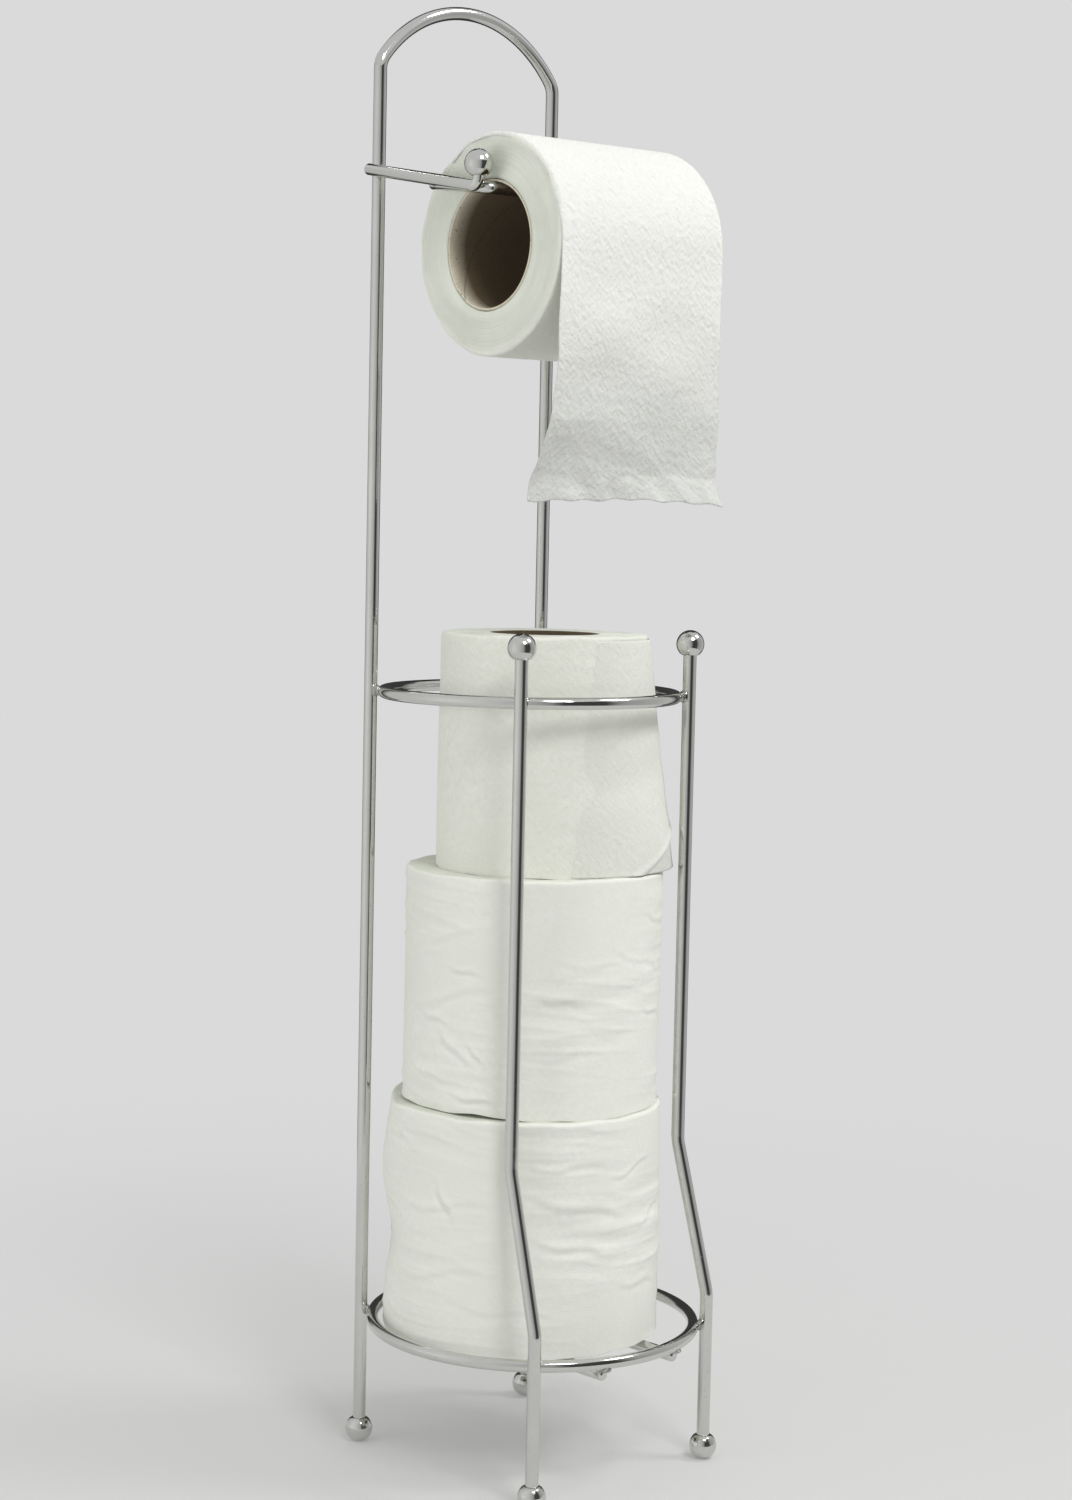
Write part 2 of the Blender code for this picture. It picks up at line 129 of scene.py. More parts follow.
leg_end = foot_height - wire_end_offset(FRAME_WIRE)
base_bar_height = LOWER_RING_HEIGHT - RING_WIRE - WELD_GAP
stored_base = base_bar_height + RING_WIRE / 2 + WELD_GAP
stack_top = stored_base + 3 * STORED_ROLL_HEIGHT + 2 * PAPER_GAP
upper_ring_height = stack_top - UPPER_RING_DROP
finial_height = upper_ring_height + FINIAL_RISE
step_bottom = LOWER_RING_HEIGHT + STEP_START_RISE
step_top = step_bottom + STEP_RISE
roll_bar_height = stack_top + ROLL_BAR_RISE
arm_height = roll_bar_height + ROLL_BAR_REACH * tan(ARM_SLOPE)
overall_height = arm_height + HANDLE_RISE
arm_x = -HOOP_HALF_WIDTH - (FRAME_WIRE + ARM_WIRE) / 2 - WELD_GAP
lap_x = arm_x + ARM_WIRE + WELD_GAP
roll_bar_y = hoop_y - ROLL_BAR_REACH
arm_turn = pi / 2 + ARM_SLOPE
arm_ball_height = roll_bar_height + ARM_BEND_RADIUS * tan(arm_turn / 2) + seat_offset(ARM_WIRE)
bar_ball_height = roll_bar_height + ARM_BEND_RADIUS + seat_offset(ARM_WIRE)

# The roll in use hangs by the top of its core, askew on the bar about its own middle
used_across = np.array((cos(USED_ROLL_SKEW), -sin(USED_ROLL_SKEW), 0))
used_forward = np.array((-sin(USED_ROLL_SKEW), -cos(USED_ROLL_SKEW), 0))
end_swing = USED_ROLL_LENGTH / 2 * sin(USED_ROLL_SKEW)
bar_off_axis = USED_CORE_INNER - ARM_WIRE / 2 - WELD_GAP
used_roll_z = roll_bar_height - sqrt(bar_off_axis**2 - end_swing**2)
used_near_x = lap_x + ARM_WIRE / 2 + PAPER_GAP + end_swing * tan(USED_ROLL_SKEW)
used_near = np.array((used_near_x, roll_bar_y + end_swing, used_roll_z))
bar_end_x = used_near_x + USED_ROLL_LENGTH * cos(USED_ROLL_SKEW) + FAR_END_PLAY + BALL_RADIUS


class Signal:
    """A socket of a node tree. Arithmetic on it adds Math nodes, and node() adds any other."""

    def __init__(self, tree, socket=None):
        self.tree = tree
        self.socket = socket

    def node(self, kind, settings=None, values=None, output=0):
        """A new node: its settings first, then the values or links of its sockets."""
        node = self.tree.nodes.new(kind)
        for key, value in (settings or {}).items():
            if key == "stops":
                shape_ramp(node.color_ramp, value)
            else:
                setattr(node, key, value)
        for key, value in (values or {}).items():
            if isinstance(value, Signal):
                self.tree.links.new(value.socket, node.inputs[key])
            else:
                node.inputs[key].default_value = value
        return Signal(self.tree, node.outputs[output])

    def maths(self, operation, *values):
        return self.node("ShaderNodeMath", {"operation": operation}, dict(enumerate(values)))

    def __add__(self, other):
        return self.maths("ADD", self, other)

    def __radd__(self, other):
        return self.maths("ADD", other, self)

    def __sub__(self, other):
        return self.maths("SUBTRACT", self, other)

    def __rsub__(self, other):
        return self.maths("SUBTRACT", other, self)

    def __mul__(self, other):
        return self.maths("MULTIPLY", self, other)

    def __rmul__(self, other):
        return self.maths("MULTIPLY", other, self)


def shape_ramp(ramp, stops):
    """Gives a colour ramp its stops, each a place and a grey."""
    while len(ramp.elements) > 1:
        ramp.elements.remove(ramp.elements[-1])
    for index, (place, grey) in enumerate(stops):
        element = ramp.elements[0] if index == 0 else ramp.elements.new(place)
        element.position = place
        element.color = (grey, grey, grey, 1)


def new_material(name):
    """An empty node material, and the first signal of its tree."""
    material = bpy.data.materials.new(name)
    material.use_nodes = True
    material.node_tree.nodes.clear()
    return material, Signal(material.node_tree)


def show(surface, output="ShaderNodeOutputMaterial"):
    """Links a shader to the surface of a new output node."""
    leave = surface.tree.nodes.new(output)
    surface.tree.links.new(surface.socket, leave.inputs["Surface"])


def principled(start, **inputs):
    """A Principled shader. Underscores stand for the spaces in its inputs' names."""
    values = {name.replace("_", " "): value for name, value in inputs.items()}
    return start.node("ShaderNodeBsdfPrincipled", {}, values)


def blend_colours(amount, first, second):
    """The first colour where amount is 0, the second where it is 1."""
    ends = [(*end, 1) if isinstance(end, tuple) else end for end in (first, second)]
    values = {0: amount, 6: ends[0], 7: ends[1]}
    return amount.node("ShaderNodeMix", {"data_type": "RGBA"}, values, output=2)


def noise(place, scale, detail=2.0, roughness=0.5, distortion=0.0):
    values = {"Vector": place, "Scale": scale, "Detail": detail, "Roughness": roughness,
              "Distortion": distortion}
    return place.node("ShaderNodeTexNoise", {}, values)


def stretched(place, scale):
    """The place, scaled by a different number along each axis."""
    return place.node("ShaderNodeVectorMath", {"operation": "MULTIPLY"}, {0: place, 1: scale})


def ramp(value, *stops):
    return value.node("ShaderNodeValToRGB", {"stops": stops}, {0: value})


def bump(height, distance, under=None):
    """A bump of the height signal, which is 0 to 1, as deep as the distance."""
    values = {"Height": height, "Distance": distance, "Strength": 1.0}
    if under is not None:
        values["Normal"] = under
    return height.node("ShaderNodeBump", {}, values)


def object_place(start):
    return start.node("ShaderNodeTexCoord", output="Object")


def wrap_place(start):
    """Places on a sheet or a roll, in metres across or round it and along it."""
    return start.node("ShaderNodeUVMap", {"uv_map": "wrap"})


def across_and_along(wrap):
    return [wrap.node("ShaderNodeSeparateXYZ", {}, {0: wrap}, output=axis) for axis in "XY"]


def chrome_material():
    """Bright plating over drawn wire: faint waviness, haze and a few dull specks."""
    material, start = new_material("bright_chrome_plating")
    place = object_place(start)
    haze = noise(place, 45, 3, 0.6)
    streaks = noise(stretched(place, (900, 900, 60)), 1)
    specks = ramp(noise(place, 700, 1), (0.7, 0.0), (0.78, 1.0))
    tone = blend_colours(haze, (0.60, 0.607, 0.575), (0.70, 0.71, 0.68))
    retoned = blend_colours(specks * 0.35, tone, (0.34, 0.33, 0.3))
    wavy = bump(noise(place, 130, 1), 0.00006)
    show(principled(start, Base_Color=retoned, Metallic=1.0,
                    Roughness=0.06 + haze * 0.08 + specks * 0.2,
                    Normal=bump(streaks, 0.000006, under=wavy)))
    return material


def weld_material():
    """Plated weld metal: duller, darker and lumpier than the wire beside it."""
    material, start = new_material("plated_weld")
    grain = noise(object_place(start), 900, 4, 0.65)
    tone = blend_colours(grain, (0.3, 0.29, 0.27), (0.62, 0.61, 0.59))
    show(principled(start, Base_Color=tone, Metallic=1.0, Roughness=0.2 + grain * 0.25,
                    Normal=bump(grain, 0.0002)))
    return material


def embossing(wrap):
    """Faint embossing, rubbed down: two sets of short soft ridges that cross at an angle."""
    turned = [wrap.node("ShaderNodeMapping", {"vector_type": "TEXTURE"},
                        {0: wrap, 2: (0, 0, lean), 3: (0.0018, 0.0044, 1)})
              for lean in (0.7, -0.75)]
    rising, falling = (noise(place, 1) for place in turned)
    return rising * 0.5 + falling * 0.5


def paper_material(name, tones, embossed, sheer_and_shade=None):
    """Soft tissue: two near whites, crepe and fibres, and embossing as deep as given.

    sheer gives a colour painted over the tissue, and how much the share of it grows for
    each metre across and along the sheet, from a first share. That colour is painted shade, and
    on the hanging sheet partly the tissue where nothing backs it. It is strongest in the
    embossing's hollows.
    """
    light, shade = tones
    material, start = new_material(name)
    wrap = wrap_place(start)
    crepe = noise(stretched(wrap, (500, 1500, 1)), 1, 3, 0.6)
    fibres = noise(stretched(wrap, (350, 420, 1)), 1, 4, 0.7, 0.6)
    cloudy = noise(object_place(start), 28, 3, 0.55)
    pattern = embossing(wrap)
    tone = blend_colours(ramp(cloudy, (0.3, 0.0), (0.7, 1.0)), light, shade)
    tone = blend_colours(ramp(fibres, (0.45, 0.0), (0.8, 0.5)), tone, shade)
    # Darker in the embossing's hollows: painted shade.
    tone = blend_colours(ramp(pattern, (0.38, 0.9), (0.6, 0.0)), tone, shade)
    # The darker colour over it: painted shade, and on the hanging sheet partly tissue that nothing
    # backs.
    if sheer_and_shade is not None:
        colour, per_across, per_along, first = sheer_and_shade
        across, along = across_and_along(wrap)
        free = start.node("ShaderNodeMapRange", {"interpolation_type": "SMOOTHSTEP"},
                          {0: across * per_across + along * per_along + first})
        tone = blend_colours(free * (1.35 - 0.8 * pattern), tone, colour)
    skin = bump(crepe * 0.5 + fibres * 0.5, 0.0002)
    show(principled(start, Base_Color=tone, Roughness=0.93 - crepe * 0.06,
                    Normal=bump(pattern, embossed, under=skin), Specular_IOR_Level=0.2,
                    Subsurface_Weight=0.12, Subsurface_Radius=(1.0, 0.95, 0.8),
                    Subsurface_Scale=0.003))
    return material


def layered_material():
    """The cut ends of a roll: hundreds of turns of tissue, some proud, some pressed flat."""
    material, start = new_material("wound_tissue_end")
    wrap, place = wrap_place(start), object_place(start)
    turns = noise(stretched(wrap, (3, 2600, 1)), 1, 3, 0.7)
    bundles = noise(stretched(wrap, (6, 420, 1)), 1)
    fuzz = noise(place, 1300, 3, 0.7)
    blotches = noise(place, 55, 3, 0.6)
    tone = blend_colours(ramp(blotches, (0.35, 0.0), (0.7, 1.0)), (0.79, 0.815, 0.745),
                         (0.71, 0.735, 0.655))
    # Darker where the turns lie low: painted shade between the turns.
    tone = blend_colours(ramp(turns, (0.35, 0.5), (0.6, 0.0)), tone, (0.6, 0.62, 0.54))
    height = turns * 0.5 + bundles * 0.3 + fuzz * 0.2
    show(principled(start, Base_Color=tone, Roughness=0.95 - fuzz * 0.05,
                    Normal=bump(height, 0.00035), Specular_IOR_Level=0.2))
    return material


def card_material():
    """Spirally wound brown board: a butt seam, fibres and flecks, darkened as painted shade inside
    the bore and paled at one end as painted light.
    """
    material, start = new_material("spiral_wound_card")
    wrap = wrap_place(start)
    across, along = across_and_along(wrap)
    turn = (across * 0.55 + along) * (1 / SEAM_PITCH)
    gap = ramp(turn.maths("FRACT", turn), (0.0, 0.5), (0.01, 1.0), (0.99, 1.0), (1.0, 0.5))
    # Pale for the first millimetres of one end: painted light where it falls into the bore.
    painted_light_mouth = ramp(along * 10, (0.01, 1.0), (0.09, 0.0))
    fibres = noise(stretched(wrap, (500, 1400, 1)), 1, 4, 0.65, 0.4)
    flecks = ramp(noise(object_place(start), 900), (0.62, 0.0), (0.72, 0.7))
    # Board made dark brown all over: painted shade for the inside of the bore.
    tone = blend_colours(fibres, (0.10, 0.072, 0.04), (0.18, 0.135, 0.085))
    retoned = blend_colours(fibres, (0.56, 0.51, 0.40), (0.72, 0.67, 0.55))
    tone = blend_colours(painted_light_mouth, tone, retoned)
    tone = blend_colours(flecks, tone, (0.08, 0.06, 0.035))
    tone = blend_colours(gap, (0.07, 0.05, 0.03), tone)
    show(principled(start, Base_Color=tone, Roughness=0.86 - fibres * 0.1,
                    Normal=bump(fibres * 0.4 + gap * 0.6, 0.00018), Specular_IOR_Level=0.3))
    return material


def link(name, data):
    obj = bpy.data.objects.new(name, data)
    bpy.context.scene.collection.objects.link(obj)
    return obj


def finished(obj, name):
    """A plain mesh object of what the object's modifiers make. The object itself goes."""
    bpy.context.view_layer.update()
    depsgraph = bpy.context.evaluated_depsgraph_get()
    mesh = bpy.data.meshes.new_from_object(obj.evaluated_get(depsgraph), depsgraph=depsgraph)
    mesh.name = name
    bpy.data.objects.remove(obj)
    return link(name, mesh)


def dress(obj, body, slot, *nodes):
    """The piece rides on the body and stands for the nodes, whose parts it hides. The slot is not
    used.
    """
    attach(obj, body)
    if nodes:
        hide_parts(*nodes)


def new_geometry_tree(name, *inputs):
    """A geometry node tree with named inputs, each a name and a socket type."""
    tree = bpy.data.node_groups.new(name, "GeometryNodeTree")
    tree.interface.new_socket("Geometry", in_out="INPUT", socket_type="NodeSocketGeometry")
    for label, kind in inputs:
        tree.interface.new_socket(label, in_out="INPUT", socket_type=kind)
    tree.interface.new_socket("Geometry", in_out="OUTPUT", socket_type="NodeSocketGeometry")
    entry = tree.nodes.new("NodeGroupInput")
    return tree, {socket.name: Signal(tree, socket) for socket in entry.outputs if socket.name}


def end_tree(result, finish):
    """Realize Instances and Set Material, the last two nodes of every tree here."""
    solid = result.node("GeometryNodeRealizeInstances", {}, {"Geometry": result})
    coated = result.node("GeometryNodeSetMaterial", {}, {"Geometry": solid, "Material": finish})
    leave = result.tree.nodes.new("NodeGroupOutput")
    result.tree.links.new(coated.socket, leave.inputs[0])


def run_tree(obj, tree, values):
    """Puts the tree on the object with these input values, by the sockets' identifiers."""
    modifier = obj.modifiers.new(tree.name, "NODES")
    modifier.node_group = tree
    for item in tree.interface.items_tree:
        if item.in_out == "INPUT" and item.name in values:
            modifier[item.identifier] = values[item.name]


def bent_wire_tree():
    """Sweeps a round section along a path, as thick as the path's own radius says."""
    tree, given = new_geometry_tree(
        "bent_wire", ("Wire Diameter", "NodeSocketFloat"), ("Sides", "NodeSocketInt"),
        ("Finish", "NodeSocketMaterial"))
    start = given["Geometry"]
    section = start.node("GeometryNodeCurvePrimitiveCircle", {"mode": "RADIUS"},
                         {"Resolution": given["Sides"], "Radius": given["Wire Diameter"] * 0.5})
    thickness = start.node("GeometryNodeInputRadius")
    swept = start.node("GeometryNodeCurveToMesh", {}, {
        "Curve": start, "Profile Curve": section, "Scale": thickness, "Fill Caps": True})
    smooth = start.node("GeometryNodeSetShadeSmooth", {}, {"Geometry": swept})
    end_tree(smooth, given["Finish"])
    return tree


def weld_tree():
    """Sets one nugget of weld metal on every point, flattened along the point's lean."""
    tree, given = new_geometry_tree(
        "weld_nuggets", ("Nugget Radius", "NodeSocketFloat"), ("Flatness", "NodeSocketFloat"),
        ("Lumpiness", "NodeSocketFloat"), ("Seed", "NodeSocketInt"),
        ("Finish", "NodeSocketMaterial"))
    start = given["Geometry"]
    nugget = start.node("GeometryNodeMeshIcoSphere", {}, {"Radius": 1.0, "Subdivisions": 4})
    lean = start.node("GeometryNodeInputNamedAttribute", {"data_type": "FLOAT_VECTOR"},
                      {"Name": "lean"})
    turned = start.node("FunctionNodeAlignRotationToVector", {"axis": "Z"}, {"Vector": lean})
    size = start.node("FunctionNodeRandomValue", {"data_type": "FLOAT"},
                      {2: 0.88, 3: 1.12, "Seed": given["Seed"]}, output=1)
    radius = given["Nugget Radius"] * size
    scale = start.node("ShaderNodeCombineXYZ", {},
                       {0: radius, 1: radius, 2: radius * given["Flatness"]})
    points = start.node("GeometryNodeMeshToPoints", {"mode": "VERTICES"}, {"Mesh": start})
    placed = start.node("GeometryNodeInstanceOnPoints", {}, {
        "Points": points, "Instance": nugget, "Rotation": turned, "Scale": scale})
    solid = start.node("GeometryNodeRealizeInstances", {}, {"Geometry": placed})
    where = start.node("GeometryNodeInputPosition")
    lumps = noise(where, 900, 1)
    outward = start.node("GeometryNodeInputNormal")
    shift = start.node("ShaderNodeVectorMath", {"operation": "SCALE"},
                       {0: outward, "Scale": (lumps - 0.5) * given["Lumpiness"]})
    lumpy = start.node("GeometryNodeSetPosition", {}, {"Geometry": solid, "Offset": shift})
    smooth = start.node("GeometryNodeSetShadeSmooth", {}, {"Geometry": lumpy})
    end_tree(smooth, given["Finish"])
    return tree


def arc(centre, radius, start, end, steps):
    """Points of an arc in an upright XZ plane, angles from +X towards +Z."""
    angles = [start + (end - start) * step / steps for step in range(steps + 1)]
    return [centre + radius * Vector((cos(angle), 0, sin(angle))) for angle in angles]


def rounded_path(corners, radius, steps=14):
    """The path through these corners, each inner one rounded to the bend radius."""
    path = [Vector(corners[0])]
    for before, corner, after in zip(corners, corners[1:], corners[2:]):
        corner = Vector(corner)
        arriving = (corner - Vector(before)).normalized()
        leaving = (Vector(after) - corner).normalized()
        turn = arriving.angle(leaving)
        inward = (leaving - arriving * arriving.dot(leaving)).normalized()
        centre = corner - arriving * radius * tan(turn / 2) + inward * radius
        for step in range(steps + 1):
            angle = turn * step / steps
            path.append(centre + radius * (arriving * sin(angle) - inward * cos(angle)))
    path.append(Vector(corners[-1]))
    return path


def ring_path(radius, y, height, steps=180):
    angles = [2 * pi * step / steps for step in range(steps)]
    return [Vector((radius * cos(angle), y + radius * sin(angle), height)) for angle in angles]


def hoop_path():
    """Up the left leg, round a tight shoulder, over the wide arch and down again."""
    arch_radius = (HOOP_HALF_WIDTH**2 + ARCH_RISE**2) / (2 * ARCH_RISE)
    arch_centre = Vector((0, hoop_y, overall_height - FRAME_WIRE / 2 - arch_radius))
    shoulder_x = HOOP_HALF_WIDTH - SHOULDER_RADIUS
    shoulder_rise = sqrt((arch_radius - SHOULDER_RADIUS) ** 2 - shoulder_x**2)
    left = arch_centre + Vector((-shoulder_x, 0, shoulder_rise))
    right = arch_centre + Vector((shoulder_x, 0, shoulder_rise))
    meet = atan2(shoulder_rise, shoulder_x)
    path = [Vector((-HOOP_HALF_WIDTH, hoop_y, leg_end))]
    path += arc(left, SHOULDER_RADIUS, pi, pi - meet, 14)
    path += arc(arch_centre, arch_radius, pi - meet, meet, 64)[1:-1]
    path += arc(right, SHOULDER_RADIUS, meet, 0, 14)
    path.append(Vector((HOOP_HALF_WIDTH, hoop_y, leg_end)))
    return path


def front_leg_path(side):
    corners = [
        (side * FRONT_FOOT_HALF_WIDTH, front_foot_y, leg_end),
        (side * FRONT_FOOT_HALF_WIDTH, front_foot_y, step_bottom),
        (side * FRONT_HALF_WIDTH, front_leg_y, step_top),
        (side * FRONT_HALF_WIDTH, front_leg_y, finial_height + wire_end_offset(FRAME_WIRE)),
    ]
    return rounded_path(corners, STEP_BEND_RADIUS)


def base_bar_path(side):
    """One straight wire under the lower ring, cut off just inside the ring's centre line."""
    x = side * BASE_BAR_SPACING / 2
    half = sqrt(LOWER_RING_RADIUS**2 - x**2) - BASE_BAR_TRIM
    return [Vector((x, lower_ring_y - half, base_bar_height)),
            Vector((x, lower_ring_y + half, base_bar_height))]


def arm_path():
    """From its weld outside the rear left leg, down and forward, then up into its ball."""
    corners = [
        (arm_x, hoop_y + ARM_TAIL, arm_height + ARM_TAIL * tan(ARM_SLOPE)),
        (arm_x, roll_bar_y, roll_bar_height),
        (arm_x, roll_bar_y, arm_ball_height + wire_end_offset(ARM_WIRE)),
    ]
    return rounded_path(corners, ARM_BEND_RADIUS)


def roll_bar_path():
    """Along the arm, across through the roll's core, and up into the far ball."""
    corners = [
        (lap_x, roll_bar_y + LAP_LENGTH, roll_bar_height + LAP_LENGTH * tan(LAP_SLOPE)),
        (lap_x, roll_bar_y, roll_bar_height),
        (bar_end_x, roll_bar_y, roll_bar_height),
        (bar_end_x, roll_bar_y, bar_ball_height + wire_end_offset(ARM_WIRE)),
    ]
    return rounded_path(corners, ARM_BEND_RADIUS)


# Points near a cut wire's end, as shares of the rounded length, which is a share of the radius
ROUND_DEPTH_SHARES = (0.0, 0.05, 0.16, 0.32, 0.52, 0.76)
ROUND_LENGTH_SHARE = 0.6
ROUND_TAPER_SHARE = 0.75


def with_round_start(path, shares, wire_radius):
    """Adds points near the path's start, and how much of the full thickness each has."""
    step = (path[1] - path[0]).normalized() * wire_radius * ROUND_LENGTH_SHARE
    tips = [path[0] + step * depth for depth in ROUND_DEPTH_SHARES]
    thinned = [sqrt(1 - ROUND_TAPER_SHARE * (1 - depth) ** 2) for depth in ROUND_DEPTH_SHARES]
    return tips + path[1:], thinned + shares[1:]


def wire(name, node, path, diameter, tree, finish, closed=False, round_ends=(False, False)):
    """One bent wire of the frame, swept along its path."""
    shares = [1.0] * len(path)
    for is_round in round_ends:
        if is_round:
            path, shares = with_round_start(path, shares, diameter / 2)
        path, shares = path[::-1], shares[::-1]
    curve = bpy.data.curves.new(name + "_path", "CURVE")
    curve.dimensions = "3D"
    spline = curve.splines.new("POLY")
    spline.points.add(len(path) - 1)
    for place, point, share in zip(spline.points, path, shares):
        place.co = (*point, 1)
        place.radius = share
    spline.use_cyclic_u = closed
    obj = link(name + "_path", curve)
    run_tree(obj, tree, {"Wire Diameter": diameter, "Sides": WIRE_SIDES, "Finish": finish})
    dress(finished(obj, name), "stand", "chrome", node)


def weld_places():
    """Where wires touch, each with the direction from one wire to the other."""
    places = []
    for side in (-1, 1):
        for height, ring_y, radius, x, y in (
            (upper_ring_height, upper_ring_y, UPPER_RING_RADIUS, HOOP_HALF_WIDTH, hoop_y),
            (LOWER_RING_HEIGHT, lower_ring_y, LOWER_RING_RADIUS, HOOP_HALF_WIDTH, hoop_y),
            (upper_ring_height, upper_ring_y, UPPER_RING_RADIUS, FRONT_HALF_WIDTH, front_leg_y),
            (LOWER_RING_HEIGHT, lower_ring_y, LOWER_RING_RADIUS, FRONT_FOOT_HALF_WIDTH,
             front_foot_y),
        ):
            lean = Vector((side * x, y - ring_y, 0)).normalized()
            touch = radius + RING_WIRE / 2 + WELD_GAP / 2
            places.append((Vector((0, ring_y, height)) + lean * touch, lean))
        x = side * BASE_BAR_SPACING / 2
        half = sqrt(LOWER_RING_RADIUS**2 - x**2)
        between = (base_bar_height + LOWER_RING_HEIGHT) / 2
        for end in (-1, 1):
            places.append((Vector((x, lower_ring_y + end * half, between)), Vector((0, 0, 1))))
    arm_touch = -HOOP_HALF_WIDTH - FRAME_WIRE / 2 - WELD_GAP / 2
    places.append((Vector((arm_touch, hoop_y, arm_height)), Vector((1, 0, 0))))
    for share in LAP_WELD_SHARES:
        reach = LAP_LENGTH * share
        drop = reach * (tan(ARM_SLOPE) + tan(LAP_SLOPE)) / 2
        places.append((Vector(((arm_x + lap_x) / 2, roll_bar_y + reach, roll_bar_height + drop)),
                       Vector((1, 0, 0))))
    return places


def build_welds(finish):
    places = weld_places()
    mesh = bpy.data.meshes.new("weld_points")
    mesh.from_pydata([place for place, lean in places], [], [])
    leans = mesh.attributes.new("lean", "FLOAT_VECTOR", "POINT")
    leans.data.foreach_set("vector", [part for place, lean in places for part in lean])
    obj = link("weld_points", mesh)
    run_tree(obj, weld_tree(), {"Nugget Radius": 0.0023, "Flatness": 0.55, "Lumpiness": 0.0006,
                                "Seed": 4, "Finish": finish})
    dress(finished(obj, "frame_welds"), "stand", "chrome")


def turned_mesh(name, profile, place, turn, material):
    """A closed smooth solid turned round Z from (radius, height) points, then put in place.

    The profile starts and ends on the axis, with the solid on its right as it comes down.
    """
    angles = [2 * pi * step / TURNED_SIDES for step in range(TURNED_SIDES)]
    verts = [(0, 0, profile[0][1])]
    for radius, height in profile[1:-1]:
        verts += [(radius * cos(angle), radius * sin(angle), height) for angle in angles]
    verts.append((0, 0, profile[-1][1]))
    last_ring = len(verts) - 1 - TURNED_SIDES
    faces = []
    for here in range(1, TURNED_SIDES + 1):
        beside = here % TURNED_SIDES + 1
        faces.append((0, here, beside))
        for ring in range(0, last_ring - 1, TURNED_SIDES):
            below = ring + TURNED_SIDES
            faces.append((ring + here, below + here, below + beside, ring + beside))
        faces.append((last_ring - 1 + here, len(verts) - 1, last_ring - 1 + beside))
    mesh = bpy.data.meshes.new(name)
    mesh.from_pydata(verts, [], faces)
    mesh.transform(Matrix.Translation(place) @ turn)
    mesh.shade_smooth()
    mesh.set_sharp_from_angle(angle=SHARP_FROM)
    mesh.materials.append(material)
    return link(name, mesh)


def ball(name, node, place, wire_diameter, material, is_foot=False):
    """A ball pressed on a wire end. A soft lip rings its socket, which opens up on a foot."""
    bore = wire_diameter / 2 + WELD_GAP * SOCKET_FIT_SHARE
    seat = seat_offset(wire_diameter)
    seat_angle = atan2(seat - SEAT_ROUND_IN,
                       wire_diameter / 2 + WELD_GAP + SEAT_LIP + SEAT_ROUND_OUT)
    profile = [(0, seat - SOCKET_DEPTH), (bore, seat - SOCKET_DEPTH), (bore, seat - SOCKET_LIP)]
    for step in range(1, LIP_ROWS + 1):
        angle = pi / 2 * step / LIP_ROWS
        profile.append((bore + SOCKET_LIP * (1 - cos(angle)),
                        seat - SOCKET_LIP + SOCKET_LIP * sin(angle)))
    last_angle = -atan2(foot_height, FOOT_FLAT_RADIUS) if is_foot else -pi / 2
    for step in range(BALL_ROWS + 1):
        angle = seat_angle + (last_angle - seat_angle) * step / BALL_ROWS
        profile.append((BALL_RADIUS * cos(angle), BALL_RADIUS * sin(angle)))
    if is_foot:
        profile.append((0, -foot_height))
    else:
        profile[-1] = (0, -BALL_RADIUS)
    turn = Matrix.Identity(4) if is_foot else Matrix.Rotation(pi, 4, "X")
    obj = turned_mesh(name, profile, Vector(place), turn, material)
    dress(obj, "stand", "chrome", node)


def ripples(dice, angle, along, most_waves, spans, count):
    """Waves that close up round a roll: up to so many round it, and so long along it."""
    total = 0
    for _ in range(count):
        waves = int(dice.integers(-most_waves, most_waves + 1))
        span = dice.uniform(*spans)
        total = total + np.cos(waves * angle + 2 * pi * along / span + dice.uniform(0, 2 * pi))
    return total / sqrt(count)


def creases(dice, angle, along, most_waves, spans, count):
    """Thin soft ridges, 0 to 1, where ripples cross zero."""
    return 1 / (1 + (ripples(dice, angle, along, most_waves, spans, count) * 4) ** 2)


def turn_from(angle, middle):
    """Angles as the shortest turns from the middle one."""
    return np.angle(np.exp(1j * (angle - middle)))


def hollows(angle, along, dents):
    """Smooth dents and swells, summed.

    Each is (how far out, turn, place along, width round, width along), in degrees and metres.
    """
    total = 0
    for rise, turn, place, turn_width, place_width in dents:
        share = turn_from(angle, radians(turn)) / radians(turn_width)
        total = total + rise * np.exp(-(share**2) - ((along - place) / place_width) ** 2)
    return total


def pressed_folds(angle, along, radius, folds):
    """Single folds pressed into a roll, each a bent line with a ridge above a valley.

    A fold is (start turn, start height, end turn, end height, depth, width), in degrees and
    millimetres.
    """
    total = 0
    for first_turn, first_height, last_turn, last_height, depth, width in folds:
        x = turn_from(angle, radians(first_turn)) * radius * 1000
        y = along * 1000 - first_height
        run_x = turn_from(radians(last_turn), radians(first_turn)) * radius * 1000
        run_y = last_height - first_height
        length = sqrt(run_x**2 + run_y**2)
        share = np.clip((x * run_x + y * run_y) / length**2, 0, 1)
        off = (y * run_x - x * run_y) / length + 0.05 * length * np.sin(2 * pi * share)
        past = np.hypot(x - run_x * share, y - run_y * share)
        fade = np.sin(pi * np.clip(share, 0.02, 0.98)) ** 0.6
        profile = (off / width) * np.exp(0.5 - 0.5 * (off / width) ** 2)
        near = np.exp(-((past / (4 * width)) ** 2))
        total = total + 0.6 * depth / 1000 * profile * fade * near
    return total


